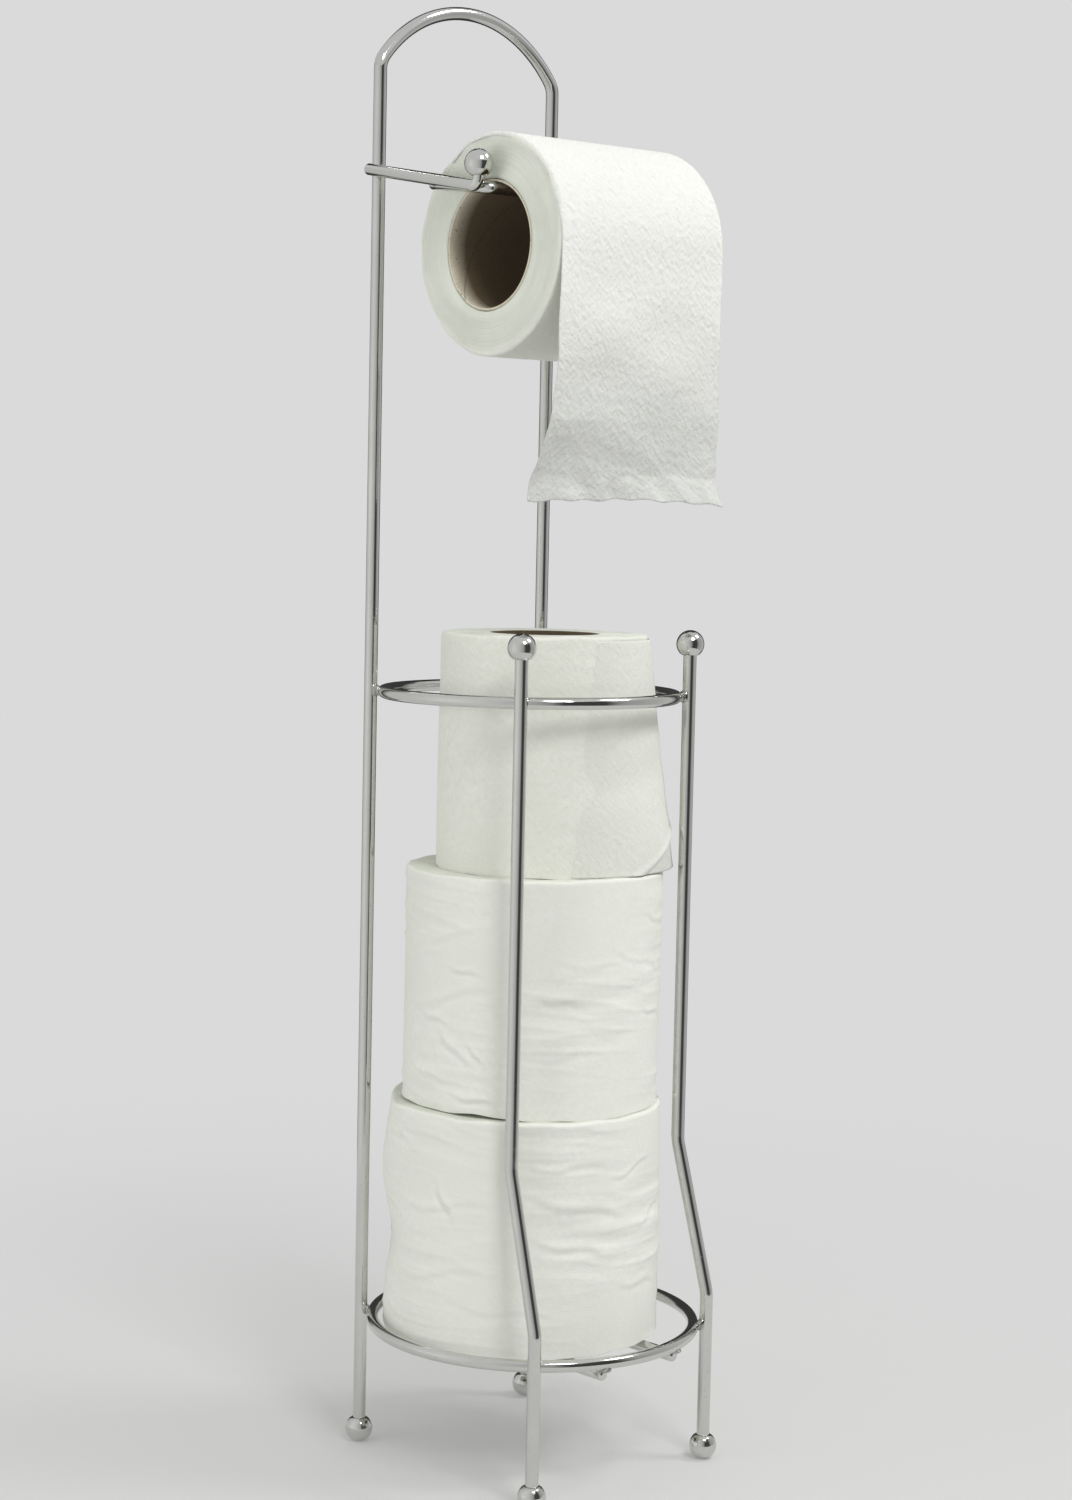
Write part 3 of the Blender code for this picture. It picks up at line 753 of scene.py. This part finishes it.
def grid_mesh(name, points, wraps, material, closed=False, ends=None, end_material=None):
    """A mesh on a grid of points. wraps holds its UVs, one more row and column if it closes."""
    rows, columns = points.shape[:2]
    down = np.arange(rows if closed else rows - 1)
    across = np.arange(columns if closed else columns - 1)
    i, j = np.meshgrid(down, across, indexing="ij")
    below, beside = (i + 1) % rows, (j + 1) % columns
    faces = np.stack([i * columns + j, i * columns + beside, below * columns + beside,
                      below * columns + j], -1).reshape(-1, 4)
    corners = np.stack([wraps[i, j], wraps[i, j + 1], wraps[i + 1, j + 1], wraps[i + 1, j]], 2)
    mesh = bpy.data.meshes.new(name)
    mesh.from_pydata(points.reshape(-1, 3).tolist(), [], faces.tolist())
    layer = mesh.uv_layers.new(name="wrap")
    layer.data.foreach_set("uv", corners.reshape(-1).astype(np.float32))
    mesh.materials.append(material)
    if ends is not None:
        mesh.materials.append(end_material)
        index = np.broadcast_to(ends[down][:, None], i.shape).reshape(-1).astype(np.int32)
        mesh.polygons.foreach_set("material_index", index)
    mesh.shade_smooth()
    return link(name, mesh)


# Rows of a wound roll's mesh down its side, across each face and round each edge
SIDE_ROWS, FACE_ROWS, EDGE_ROWS = 110, 18, 7
BORE_ROWS = 3
ROLL_SIDES = 300
CORE_SIDES, CORE_ROWS = 160, 24


def roll_profile(bore, radius, length, edges):
    """Radii, heights and kinds (1 for an end) round a roll's section, from the bore's foot up."""
    foot_edge, head_edge = edges
    bend = np.linspace(0, pi / 2, EDGE_ROWS + 1)[1:]
    side = np.linspace(length - head_edge, foot_edge, SIDE_ROWS + 1)[1:]
    head = np.linspace(bore, radius - head_edge, FACE_ROWS + 1)
    foot = np.linspace(radius - foot_edge, bore, FACE_ROWS + 1)[1:]
    radii = [np.full(BORE_ROWS, bore), head, radius - head_edge + head_edge * np.sin(bend),
             np.full(SIDE_ROWS, radius), radius - foot_edge + foot_edge * np.cos(bend), foot]
    heights = [np.linspace(0, length, BORE_ROWS + 1)[:-1], np.full(FACE_ROWS + 1, length),
               length - head_edge + head_edge * np.cos(bend), side,
               foot_edge - foot_edge * np.sin(bend), np.zeros(FACE_ROWS)]
    kinds = [np.ones(BORE_ROWS + FACE_ROWS + 1), np.zeros(EDGE_ROWS + SIDE_ROWS + EDGE_ROWS),
             np.ones(FACE_ROWS)]
    radii, heights, kinds = (np.concatenate(parts) for parts in (radii, heights, kinds))
    return radii[:-1], heights[:-1], kinds[:-1]


def paper_roll(name, bore, radius, length, seed, place_point, shape, material, end_material,
               edges, wrinkle):
    """The wound paper: its section swept round, then wrinkled, dented and softened.

    shape(angle, along, depth) gives extra movement outward and upward. depth is 0 at the bore
    and 1 at the outside. place_point turns (radius, angle, along) into a point. edges are how
    far its foot and head are rounded.
    """
    dice = np.random.default_rng(seed)
    radii, heights, kinds = roll_profile(bore, radius, length, edges)
    angles = np.arange(ROLL_SIDES) * 2 * pi / ROLL_SIDES
    angle, rho = np.meshgrid(angles, radii)
    along = np.meshgrid(angles, heights)[1]
    depth = (rho - bore) / (radius - bore)
    outer = np.clip((depth - 0.6) / 0.4, 0, 1) ** 2
    lumps = ripples(dice, angle, along, 3, (0.15, 0.4), 5) * 0.0004
    patches = np.clip(ripples(dice, angle, along, 4, (0.04, 0.12), 6) * 0.6 + 0.55, 0, 1)
    swells = ripples(dice, angle, along, 5, (0.009, 0.02), 7)
    folds = creases(dice, angle, along, 4, (0.009, 0.022), 5)
    fine = creases(dice, angle, along, 8, (0.004, 0.009), 5)
    out = outer * (lumps + wrinkle * patches * (0.6 * swells + folds + 0.5 * fine))
    face_lift = ripples(dice, angle, rho, 4, (0.008, 0.03), 6) * 0.0002
    face_lift += ripples(dice, angle, rho, 14, (0.003, 0.008), 6) * 0.00007 * depth
    rim = ripples(dice, angle, along * 0, 18, (1, 2), 11) * 0.00028 * outer
    top = along > length / 2
    is_end = np.clip((np.abs(along - length / 2) / (length / 2) - 0.93) / 0.07, 0, 1)
    up = is_end * (face_lift + rim) * np.where(top, 1, -1) * np.clip(depth * 6, 0, 1)
    extra_out, extra_up = shape(angle, along, depth)
    points = place_point(rho + out + extra_out, angle, along + up + extra_up)
    turn = np.arange(ROLL_SIDES + 1) * 2 * pi / ROLL_SIDES
    run = np.concatenate([[0], np.cumsum(np.hypot(np.diff(radii), np.diff(heights)))])
    run = np.append(run, run[-1] + abs(heights[-1] - heights[0]) + abs(radii[-1] - radii[0]))
    wraps = np.stack(np.meshgrid(turn * radius, run), -1)
    return outward(grid_mesh(name, points, wraps, material, True, kinds.astype(int),
                             end_material))


def outward(obj):
    """The closed mesh object, its faces turned outwards."""
    bm = bmesh.new()
    bm.from_mesh(obj.data)
    bmesh.ops.recalc_face_normals(bm, faces=bm.faces)
    bm.to_mesh(obj.data)
    bm.free()
    return obj


def core_tube(name, inner, length, seed, place_point, material):
    """A card tube with slightly crushed, rounded cut edges."""
    dice = np.random.default_rng(seed)
    outer, nib = inner + CORE_WALL, CORE_WALL / 4
    radii, heights = [], []
    for height, up in ((0, -1), (length, 1)):
        bend = np.linspace(0, pi, 7)
        middle = (inner + outer) / 2
        radii.append(middle + (CORE_WALL / 2 - 0.00002) * np.cos(bend) * -up)
        heights.append(height - up * nib + up * nib * np.sin(bend))
    inside = np.linspace(length - nib, nib, CORE_ROWS + 2)[1:-1]
    radii = np.concatenate([radii[0][::-1], np.full(CORE_ROWS, outer), radii[1][::-1],
                            np.full(CORE_ROWS, inner)])
    heights = np.concatenate([heights[0][::-1], inside[::-1], heights[1][::-1], inside])
    angle, rho = np.meshgrid(np.arange(CORE_SIDES) * 2 * pi / CORE_SIDES, radii)
    along = np.meshgrid(np.arange(CORE_SIDES), heights)[1]
    wobble = ripples(dice, angle, along, 3, (0.08, 0.3), 4) * 0.00008
    points = place_point(rho - np.abs(wobble), angle, along)
    turn = np.arange(CORE_SIDES + 1) * 2 * pi / CORE_SIDES
    run = np.append(heights, heights[0])
    wraps = np.stack(np.meshgrid(turn * inner, run), -1)
    return outward(grid_mesh(name, points, wraps, material, True))


def upright(x, y, base):
    """Places points of a roll that stands on end."""
    def place_point(rho, angle, along):
        return np.stack([x + rho * np.cos(angle), y + rho * np.sin(angle), base + along], -1)
    return place_point


def beside_used_roll(across, forward, up):
    """Points on or near the roll on the bar, from the middle of its near face."""
    places = [np.asarray(part)[..., None] for part in np.broadcast_arrays(across, forward, up)]
    return used_near + places[0] * used_across + places[1] * used_forward + places[2] * UPWARD


def hanging(rho, angle, along):
    """Places points of the roll on the bar. Angles run from the front over the top."""
    return beside_used_roll(along, rho * np.cos(angle), rho * np.sin(angle))


def outer_share(depth):
    return np.clip((depth - 0.4) / 0.6, 0, 1) ** 2


# What storage did to the rolls, for hollows() and pressed_folds()
BOTTOM_DENTS = (
    (-0.0042, 143, 0.038, 17, 0.014), (-0.0016, 140, 0.1, 20, 0.009),
    (0.0011, 141, 0.072, 14, 0.011), (-0.0014, 290, 0.066, 14, 0.012),
    (-0.0010, 247, 0.053, 15, 0.008))
BOTTOM_RIM_DENTS = (
    (-0.0024, 146, STORED_ROLL_HEIGHT, 18, 0.016), (0.0008, 176, STORED_ROLL_HEIGHT, 16, 0.012))
BOTTOM_FOLDS = (
    (190, 70, 197, 57, 1.3, 1.3), (170, 61, 218, 63, 0.5, 1.6), (266, 75, 291, 80, 0.8, 1.1),
    (228, 82, 264, 80, 0.6, 1.5), (229, 70, 272, 57, 0.7, 1.8), (233, 50, 262, 43, 1.1, 1.7),
    (165, 30, 215, 35, 0.5, 1.8), (150, 93, 175, 84, 0.8, 1.4), (280, 52, 305, 58, 0.7, 1.4),
    (200, 22, 240, 17, 0.4, 1.5), (268, 30, 300, 24, 0.5, 1.5), (140, 62, 168, 52, 0.9, 1.5))
MIDDLE_DENTS = ((-0.0012, 240, 0.046, 13, 0.007), (-0.0010, 300, 0.06, 10, 0.016))
MIDDLE_FOOT_DENTS = ((0.0015, 203, 0.0, 13, 0.006), (-0.0006, 285, 0.0, 60, 0.003))
MIDDLE_FOLDS = (
    (158, 72, 216, 78, 0.35, 1.3), (187, 62, 204, 59, 0.7, 1.1), (155, 44, 216, 53, 0.6, 1.7),
    (169, 41, 187, 37, 0.9, 1.3), (182, 34, 199, 20, 1.1, 1.5), (198, 30, 206, 21, 1.1, 1.2),
    (190, 8, 215, 5, 0.9, 1.2), (230, 51, 248, 48, 1.0, 1.6), (265, 71, 304, 57, 0.5, 1.3),
    (224, 26, 260, 27, 0.35, 1.5), (150, 62, 180, 66, 0.35, 1.3), (160, 18, 185, 12, 0.7, 1.3),
    (285, 44, 308, 38, 0.7, 1.2), (288, 84, 310, 76, 0.6, 1.1), (240, 66, 275, 62, 0.3, 1.3))
TOP_FOOT_DENTS = ((-0.0005, 230, 0.0, 80, 0.003),)


def stored_shape(angle, along, depth, radius, dents, folds, end_dents):
    """Movement outward and upward by dents, folds and dented ends, less and less inwards."""
    out = hollows(angle, along, dents) + pressed_folds(angle, along, radius, folds)
    return out * outer_share(depth), hollows(angle, along, end_dents) * outer_share(depth)


def bottom_shape(angle, along, depth):
    """Pressed in on its left by storage, with a slumped upper left rim and bent folds."""
    return stored_shape(angle, along, depth, BOTTOM_ROLL[2], BOTTOM_DENTS, BOTTOM_FOLDS,
                        BOTTOM_RIM_DENTS)


def middle_shape(angle, along, depth):
    """Creased lower down on the left, with a foot that doesn't lie flat."""
    return stored_shape(angle, along, depth, MIDDLE_ROLL[2], MIDDLE_DENTS, MIDDLE_FOLDS,
                        MIDDLE_FOOT_DENTS)


def top_shape(angle, along, depth):
    """Plain, a little narrower towards its head."""
    out = -0.0004 * np.clip(along / STORED_ROLL_HEIGHT, 0, 1)
    return out * outer_share(depth), hollows(angle, along, TOP_FOOT_DENTS) * outer_share(depth)


def hanging_shape(angle, along, depth):
    """A worn end face, a little pressed at its lower left."""
    near = np.clip(1 - along / 0.01, 0, 1)
    press = hollows(angle, depth, ((1, 235, 0.9, 30, 0.35),))
    return -0.0003 * outer_share(depth), 0.0012 * near * press


def sheet_mesh(name, points, wraps, material):
    """A thin sheet on a grid of points, given its thickness both ways."""
    obj = grid_mesh(name, points, wraps, material)
    skin = obj.modifiers.new("Thickness", "SOLIDIFY")
    skin.thickness = SHEET_THICKNESS
    skin.offset = 0
    return obj


def smooth_step(value):
    value = np.clip(value, 0, 1)
    return value * value * (3 - 2 * value)


# The hanging sheet: how far it lies on the roll and hangs, and what its edges and hem do
SHEET_THICKNESS = 0.0003
SHEET_WRAP = radians(125)
SHEET_DROP = 0.1045
SHEET_WRAP_ROWS, SHEET_DROP_ROWS, SHEET_COLUMNS = 84, 130, 132
SHEET_TUCK = 0.0012
EDGE_CURL = 0.0018
HEM_ARCH = 0.0014
CORNER_LIFT = 0.0016
# How far the hanging edge's left and right corners swing back, at these shares of the drop
SHEET_DROPS = (0.0, 0.2, 0.44, 0.68, 0.8, 0.89, 1.0)
LEFT_SWINGS = (0.0, 0.0, 0.001, 0.005, 0.0105, 0.0148, 0.0178)
RIGHT_SWINGS = (0.0, 0.0, 0.0003, 0.0006, 0.001, 0.0006, -0.0022)


def build_loose_sheet(material):
    """The roll's free end: out of the roll behind its top, down its front and hanging."""
    dice = np.random.default_rng(21)
    layer = USED_ROLL_RADIUS + SHEET_THICKNESS
    wrap_angle, drop = SHEET_WRAP, SHEET_DROP
    wrap_rows, drop_rows, columns = SHEET_WRAP_ROWS, SHEET_DROP_ROWS, SHEET_COLUMNS
    across = np.linspace(0, USED_ROLL_LENGTH, columns + 1)
    wrap_share = np.arange(wrap_rows) / wrap_rows
    down = np.linspace(0, 1, drop_rows + 1)
    sink = -SHEET_TUCK * (1 - smooth_step(wrap_share / 0.12))
    angle = np.concatenate([wrap_angle * (1 - wrap_share), np.zeros(drop_rows + 1)])
    ring = layer + np.concatenate([sink, np.zeros(drop_rows + 1)])
    forward = ring * np.cos(angle)
    upward = ring * np.sin(angle) - drop * np.concatenate([np.zeros(wrap_rows), down])
    length = np.concatenate([layer * wrap_angle * wrap_share, layer * wrap_angle + drop * down])
    u, v = np.meshgrid(across, length)
    fall = np.clip((v - layer * wrap_angle) / drop, 0, 1)
    left = 1 - u / USED_ROLL_LENGTH
    back = left * np.interp(fall, SHEET_DROPS, LEFT_SWINGS)
    back += (1 - left) * np.interp(fall, SHEET_DROPS, RIGHT_SWINGS)
    low = smooth_step((fall - 0.45) / 0.5)
    hem = smooth_step((fall - 0.86) / 0.14)
    waves = ripples(dice, u * 30, v, 4, (0.03, 0.07), 6) * 0.0006 * smooth_step(fall * 3)
    waves += ripples(dice, u * 70, v, 4, (0.016, 0.04), 8) * 0.0004 * low
    waves += ripples(dice, u * 160, v, 3, (0.02, 0.05), 6) * 0.0008 * hem
    creased = creases(dice, u * 60, v, 4, (0.02, 0.05), 4)
    waves += (creased - 0.3) * 0.0003 * low
    pinches = creases(dice, u * 150 + v * 60, v, 3, (0.012, 0.03), 4)
    waves += (pinches - 0.3) * 0.0006 * smooth_step((fall - 0.72) / 0.28) * (1 - left) ** 2
    corner = np.exp(-((left - 0.03) / 0.1) ** 2 - ((fall - 1) / 0.09) ** 2)
    rim = 1 - np.sqrt(1 - (1 - np.clip(u / 0.0016, 0, 1)) ** 2)
    curl = EDGE_CURL * rim * smooth_step(angle / radians(25))[:, None]
    ease = 1 - curl / layer
    out = forward[:, None] * ease - back + waves + CORNER_LIFT * corner
    ragged = ripples(dice, u * 110, v * 0, 5, (1, 2), 7) * 0.0005
    upward = upward[:, None] * ease + hem * (ragged + HEM_ARCH * np.sin(pi * u / USED_ROLL_LENGTH))
    wander = ripples(dice, u * 0, v, 1, (0.03, 0.09), 5) * 0.0003 * smooth_step(fall * 4)
    points = beside_used_roll(u + wander, out, upward)
    obj = sheet_mesh("hanging_loose_sheet", points, np.stack([u, v], -1), material)
    dress(obj, "hanging_sheet", "paper", "loose_sheet")


# The top roll's loose turn, from where it leaves the roll to its free edge
TURN_START, TURN_END = radians(228), radians(332)
TURN_COLUMNS, TURN_ROWS = 140, 130
TURN_FOOT_GAP = -0.0001
TURN_TRIM = 0.0016
TURN_TUCK = 0.0012
TURN_RISE = 0.0018
TURN_FLARE = 0.0157
TURN_VALLEY = 0.0016
TURN_FOLD_RIDGE, TURN_FOLD_STEP = 0.0007, 0.0008


def build_loose_turn(material):
    """The top roll's outer turn, which comes away little by little and flares at its foot."""
    dice = np.random.default_rng(5)
    x, y, radius = TOP_ROLL
    base = stored_base + 2 * (STORED_ROLL_HEIGHT + PAPER_GAP)
    start, end = TURN_START, TURN_END
    height = STORED_ROLL_HEIGHT - TURN_TRIM
    s, r = np.meshgrid(np.linspace(0, 1, TURN_COLUMNS + 1), np.linspace(0, 1, TURN_ROWS + 1))
    angle = start + (end - start) * s
    leaving = smooth_step((s - 0.12) / 0.5)
    flare = TURN_FLARE * (1 - r) * s**1.6
    lift = -TURN_TUCK + TURN_RISE * leaving
    u, v = s * radius * (end - start), r * height
    waves = ripples(dice, u * 40, v, 3, (0.03, 0.08), 5) * 0.0004 * leaving
    valley = (r - 0.315 - 0.2 * (s - 0.05)) / 0.09
    waves -= TURN_VALLEY * np.exp(-valley**2) * smooth_step((s - 0.1) / 0.3) * (1 - 0.6 * s**3)
    fold_line = (s - 0.54) / 0.25 - r / 0.112
    ridge = np.exp(-(((fold_line + 0.1) / 0.13) ** 2)) * smooth_step(3 - r / 0.08)
    waves += TURN_FOLD_RIDGE * ridge
    waves -= TURN_FOLD_STEP * smooth_step(fold_line * 6)
    reach = radius + lift + flare + waves
    points = np.stack([x + reach * np.cos(angle), y + reach * np.sin(angle),
                       base + TURN_FOOT_GAP + height * r], -1)
    obj = sheet_mesh("top_roll_loose_sheet", points, np.stack([u, v], -1), material)
    dress(obj, "top_roll", "paper", "top_roll_loose_turn")


SIDES = ((-1, "left"), (1, "right"))


def build_frame(chrome, weld):
    tree = bent_wire_tree()
    wire("handle_hoop", "rear_hoop", hoop_path(), FRAME_WIRE, tree, chrome)
    for side, name in SIDES:
        wire("front_leg_" + name, "front_" + name + "_leg", front_leg_path(side), FRAME_WIRE,
             tree, chrome)
        wire("floor_bar_" + name, "base_bar_" + name, base_bar_path(side), RING_WIRE, tree,
             chrome, round_ends=(True, True))
    upper = ring_path(UPPER_RING_RADIUS, upper_ring_y, upper_ring_height)
    lower = ring_path(LOWER_RING_RADIUS, lower_ring_y, LOWER_RING_HEIGHT)
    wire("ring_upper", "upper_ring", upper, RING_WIRE, tree, chrome, closed=True)
    wire("ring_lower", "lower_ring", lower, RING_WIRE, tree, chrome, closed=True)
    for name, node, path in (("roll_arm", "support_arm", arm_path()),
                             ("roll_rod", "roll_bar", roll_bar_path())):
        wire(name, node, path, ARM_WIRE, tree, chrome, round_ends=(True, False))
    build_welds(weld)


def build_balls(chrome):
    ball("ball_on_arm", "arm_ball", (arm_x, roll_bar_y, arm_ball_height), ARM_WIRE, chrome)
    ball("ball_on_rod", "roll_bar_ball", (bar_end_x, roll_bar_y, bar_ball_height), ARM_WIRE,
         chrome)
    for side, name in SIDES:
        ball("finial_" + name, "front_" + name + "_finial",
             (side * FRONT_HALF_WIDTH, front_leg_y, finial_height), FRAME_WIRE, chrome)
        ball("foot_front_" + name, "front_" + name + "_foot",
             (side * FRONT_FOOT_HALF_WIDTH, front_foot_y, foot_height), FRAME_WIRE, chrome, True)
        ball("foot_rear_" + name, "rear_" + name + "_foot",
             (side * HOOP_HALF_WIDTH, hoop_y, foot_height), FRAME_WIRE, chrome, True)


# How far a roll's foot and head are rounded, and how deep the side of a smooth one wrinkles
USED_ROLL_EDGES = (0.0013, 0.0013)
STORED_ROLL_EDGES = (0.0004, 0.0015)
SMOOTH_WRINKLE = 0.00008


def build_roll(name, inner, radius, length, seed, place_point, shape, papers, card, edges,
               wrinkle):
    """A roll's wound paper and its card tube. papers are its side's and its ends' materials."""
    paper = paper_roll(name + "_wound", inner + CORE_WALL + PAPER_GAP, radius, length, seed,
                       place_point, shape, *papers, edges, wrinkle)
    dress(paper, name, "paper", name + "_paper")
    tube = core_tube(name + "_tube", inner, length, seed + 20, place_point, card)
    dress(tube, name, "cardboard", name + "_core")


def build_rolls(tissue, embossed, ends, card):
    build_roll("hanging_roll", USED_CORE_INNER, USED_ROLL_RADIUS, USED_ROLL_LENGTH, 11, hanging,
               hanging_shape, (embossed, ends), card, USED_ROLL_EDGES, SMOOTH_WRINKLE)
    stack = (("bottom_roll", BOTTOM_ROLL, bottom_shape, tissue, 0.00038),
             ("middle_roll", MIDDLE_ROLL, middle_shape, tissue, 0.00034),
             ("top_roll", TOP_ROLL, top_shape, embossed, SMOOTH_WRINKLE))
    for level, (name, (x, y, radius), shape, material, wrinkle) in enumerate(stack):
        place_point = upright(x, y, stored_base + level * (STORED_ROLL_HEIGHT + PAPER_GAP))
        build_roll(name, STORED_CORE_INNER, radius, STORED_ROLL_HEIGHT, 12 + level, place_point,
                   shape, (material, ends), card, STORED_ROLL_EDGES, wrinkle)


# The photograph's view, fitted to the frame's own geometry
CAMERA_PLACE = (-0.8204, -0.8587, 0.4079)
CAMERA_AIM = (0.6698, 0.7378, -0.0842)
CAMERA_ROLL = radians(1.09)
CAMERA_SENSOR, CAMERA_LENS, CAMERA_SHIFT = 36, 66.456, 0.0429


def build_camera():
    data = bpy.data.cameras.new("camera")
    data.sensor_width, data.lens, data.shift_x = CAMERA_SENSOR, CAMERA_LENS, CAMERA_SHIFT
    data.clip_start, data.clip_end = 0.05, 50
    camera = link("camera", data)
    forward = Vector(CAMERA_AIM).normalized()
    right = forward.cross(Vector((0, 0, 1))).normalized()
    up = right.cross(forward)
    side = right * cos(CAMERA_ROLL) + up * sin(CAMERA_ROLL)
    above = up * cos(CAMERA_ROLL) - right * sin(CAMERA_ROLL)
    camera.matrix_world = Matrix.Translation(CAMERA_PLACE) @ Matrix(
        (side, above, -forward)).transposed().to_4x4()
    bpy.context.scene.camera = camera


# Square soft lamps: name, place, the height on the Z axis that each faces, size and power
LAMPS = (
    ("front_softbox", (-0.45, -1.45, 1.8), 0.35, 0.6, 16.2),
    ("right_softbox", (1.05, -0.96, 1.95), 0.35, 0.55, 13.0),
    ("left_softbox", (-1.5, 0.5, 0.25), 0.4, 0.9, 7),
)


def area_lamp(name, place, aim_height, size, power):
    data = bpy.data.lights.new(name, "AREA")
    data.shape, data.size, data.size_y = "RECTANGLE", size, size
    data.energy = power
    lamp = link(name, data)
    lamp.location = place
    aim = Vector((0, 0, aim_height)) - Vector(place)
    lamp.rotation_euler = aim.to_track_quat("-Z", "Y").to_euler()


# The studio's surround as the chrome sees it: turns from the camera, in degrees to the right in
# its picture, and how bright the surround is there
SURROUND_TURNS = (-180, -142, -130, -60, -25, 3, 14, 25, 58, 72, 130, 142, 180)
SURROUND_TONES = (0.05, 0.05, 0.6, 0.78, 0.68, 0.5, 0.36, 0.06, 0.06, 0.4, 0.6, 0.05, 0.05)
SURROUND_STEPS = 360
SURROUND_REACH = 0.6
SURROUND_TOP = 0.75
REAR_FLAG_TURN = 145
REAR_FLAG_TOP = 1.5
REAR_FLAG_TONE = 0.05


def build_surround():
    """A low round wall with grey flags, and a tall one behind, that only reflections see."""
    turns = np.linspace(-180, 180, SURROUND_STEPS + 1)
    angles = atan2(CAMERA_PLACE[0], -CAMERA_PLACE[1]) + np.radians(turns)
    feet = np.stack([np.sin(angles), -np.cos(angles), 0 * angles], -1) * SURROUND_REACH
    tops = feet + UPWARD * SURROUND_TOP
    tips = feet + UPWARD * REAR_FLAG_TOP
    verts = np.concatenate([feet, tops, tops, tips])
    row = SURROUND_STEPS + 1
    walls = [(0, i) for i in range(SURROUND_STEPS)]
    walls += [(2 * row, i) for i in range(SURROUND_STEPS) if abs(turns[i]) > REAR_FLAG_TURN]
    faces = [(base + i, base + i + 1, base + i + row + 1, base + i + row) for base, i in walls]
    mesh = bpy.data.meshes.new("surround")
    mesh.from_pydata(verts.tolist(), [], faces)
    tones = np.interp(turns, SURROUND_TURNS, SURROUND_TONES)
    dark = np.full(row, REAR_FLAG_TONE)
    layer = mesh.attributes.new("tone", "FLOAT", "POINT")
    layer.data.foreach_set("value", np.concatenate([tones, tones, dark, dark]).astype(np.float32))
    wall = link("surround", mesh)
    material, start = new_material("grey_flags")
    tone = start.node("ShaderNodeAttribute", {"attribute_name": "tone"})
    show(start.node("ShaderNodeEmission", {}, {"Color": tone, "Strength": 1.0}))
    mesh.materials.append(material)
    wall.visible_camera = wall.visible_diffuse = wall.visible_shadow = False
    wall.visible_transmission = False


# The backdrop and the floor, how the floor fades into the backdrop, and the soft light
BACKDROP = (0.70, 0.70, 0.707, 1)
FLOOR_TONES = (0.66, 0.66, 0.665), (0.67, 0.67, 0.675)
FLOOR_REACH = 12
FADE_REACH = 0.8
FADE_START = 0.25
SOFT_LIGHT = (1.0, 1.0, 0.955, 1)
SOFT_STRENGTH = 0.59


def shown_rays(start):
    """1 for what the camera sees, straight on or in metal or glass, and 0 for soft light."""
    camera, glossy, through = (
        start.node("ShaderNodeLightPath", output="Is " + kind + " Ray")
        for kind in ("Camera", "Glossy", "Transmission"))
    rays = camera + glossy + through
    return rays.maths("MINIMUM", rays, 1.0)


def build_floor():
    """A pale matt floor that fades into the backdrop's colour away from the object."""
    mesh = bpy.data.meshes.new("floor")
    corners = ((-1, -1), (1, -1), (1, 1), (-1, 1))
    mesh.from_pydata([(x * FLOOR_REACH, y * FLOOR_REACH, 0) for x, y in corners], [],
                     [(0, 1, 2, 3)])
    floor = link("floor", mesh)
    material, start = new_material("pale_floor")
    place = object_place(start)
    matt = principled(start, Base_Color=blend_colours(noise(place, 3), *FLOOR_TONES),
                      Roughness=1.0, Specular_IOR_Level=0.0)
    radius = place.node("ShaderNodeVectorMath", {"operation": "LENGTH"}, {0: place}, "Value")
    fade = radius.node("ShaderNodeMapRange", {"interpolation_type": "SMOOTHSTEP"},
                       {0: radius, 1: 0.0, 2: FADE_REACH, 3: FADE_START, 4: 1.0})
    backdrop = start.node("ShaderNodeEmission", {}, {"Color": BACKDROP, "Strength": 1.0})
    show(start.node("ShaderNodeMixShader", {},
                    {0: fade * shown_rays(start), 1: matt, 2: backdrop}))
    mesh.materials.append(material)


def build_world():
    world = bpy.data.worlds.new("surroundings")
    bpy.context.scene.world = world
    world.use_nodes = True
    world.node_tree.nodes.clear()
    start = Signal(world.node_tree)
    soft, shown = (
        start.node("ShaderNodeBackground", {}, {"Color": colour, "Strength": strength})
        for colour, strength in ((SOFT_LIGHT, SOFT_STRENGTH), (BACKDROP, 1.0)))
    show(start.node("ShaderNodeMixShader", {}, {0: shown_rays(start), 1: soft, 2: shown}),
         "ShaderNodeOutputWorld")


def build_stage():
    """Pale floor and surroundings, soft lamps, and the flags that the chrome mirrors."""
    build_floor()
    build_world()
    for lamp in LAMPS:
        area_lamp(*lamp)
    build_surround()


# Lighter and darker near whites of the tissue; the darker also stands as painted shade in the
# embossing's hollows, and the hanging sheet's pair is a lighter copy of its roll's, as painted
# light. Then the darker colour painted down the hanging sheet, partly painted shade and partly
# tissue that nothing backs, and over the top roll's torn corner, as painted shade
PLAIN_TONES = (0.825, 0.835, 0.79), (0.77, 0.78, 0.73)
EMBOSSED_TONES = (0.81, 0.82, 0.765), (0.74, 0.75, 0.69)
HANGING_LIT_TONES = (0.86, 0.865, 0.832), (0.81, 0.815, 0.782)
HANGING_SHEER_AND_SHADE = ((0.625, 0.635, 0.615), 0, 13.3, -1.4)
LOOSE_TURN_PAINTED_SHADE = ((0.66, 0.665, 0.63), 297, -542, -13.1)


def main():
    build_camera()
    chrome, weld = chrome_material(), weld_material()
    tissue = paper_material("soft_tissue", PLAIN_TONES, 0.00008)
    embossed = paper_material("embossed_tissue", EMBOSSED_TONES, 0.0006)
    sheer_and_shade = paper_material("hanging_tissue", HANGING_LIT_TONES, 0.0014, HANGING_SHEER_AND_SHADE)
    corner = paper_material("loose_turn_tissue", EMBOSSED_TONES, 0.0006, LOOSE_TURN_PAINTED_SHADE)
    ends, card = layered_material(), card_material()
    build_frame(chrome, weld)
    build_balls(chrome)
    build_rolls(tissue, embossed, ends, card)
    build_loose_sheet(sheer_and_shade)
    build_loose_turn(corner)
    build_stage()
    bpy.context.scene.view_settings.view_transform = "Standard"


main()
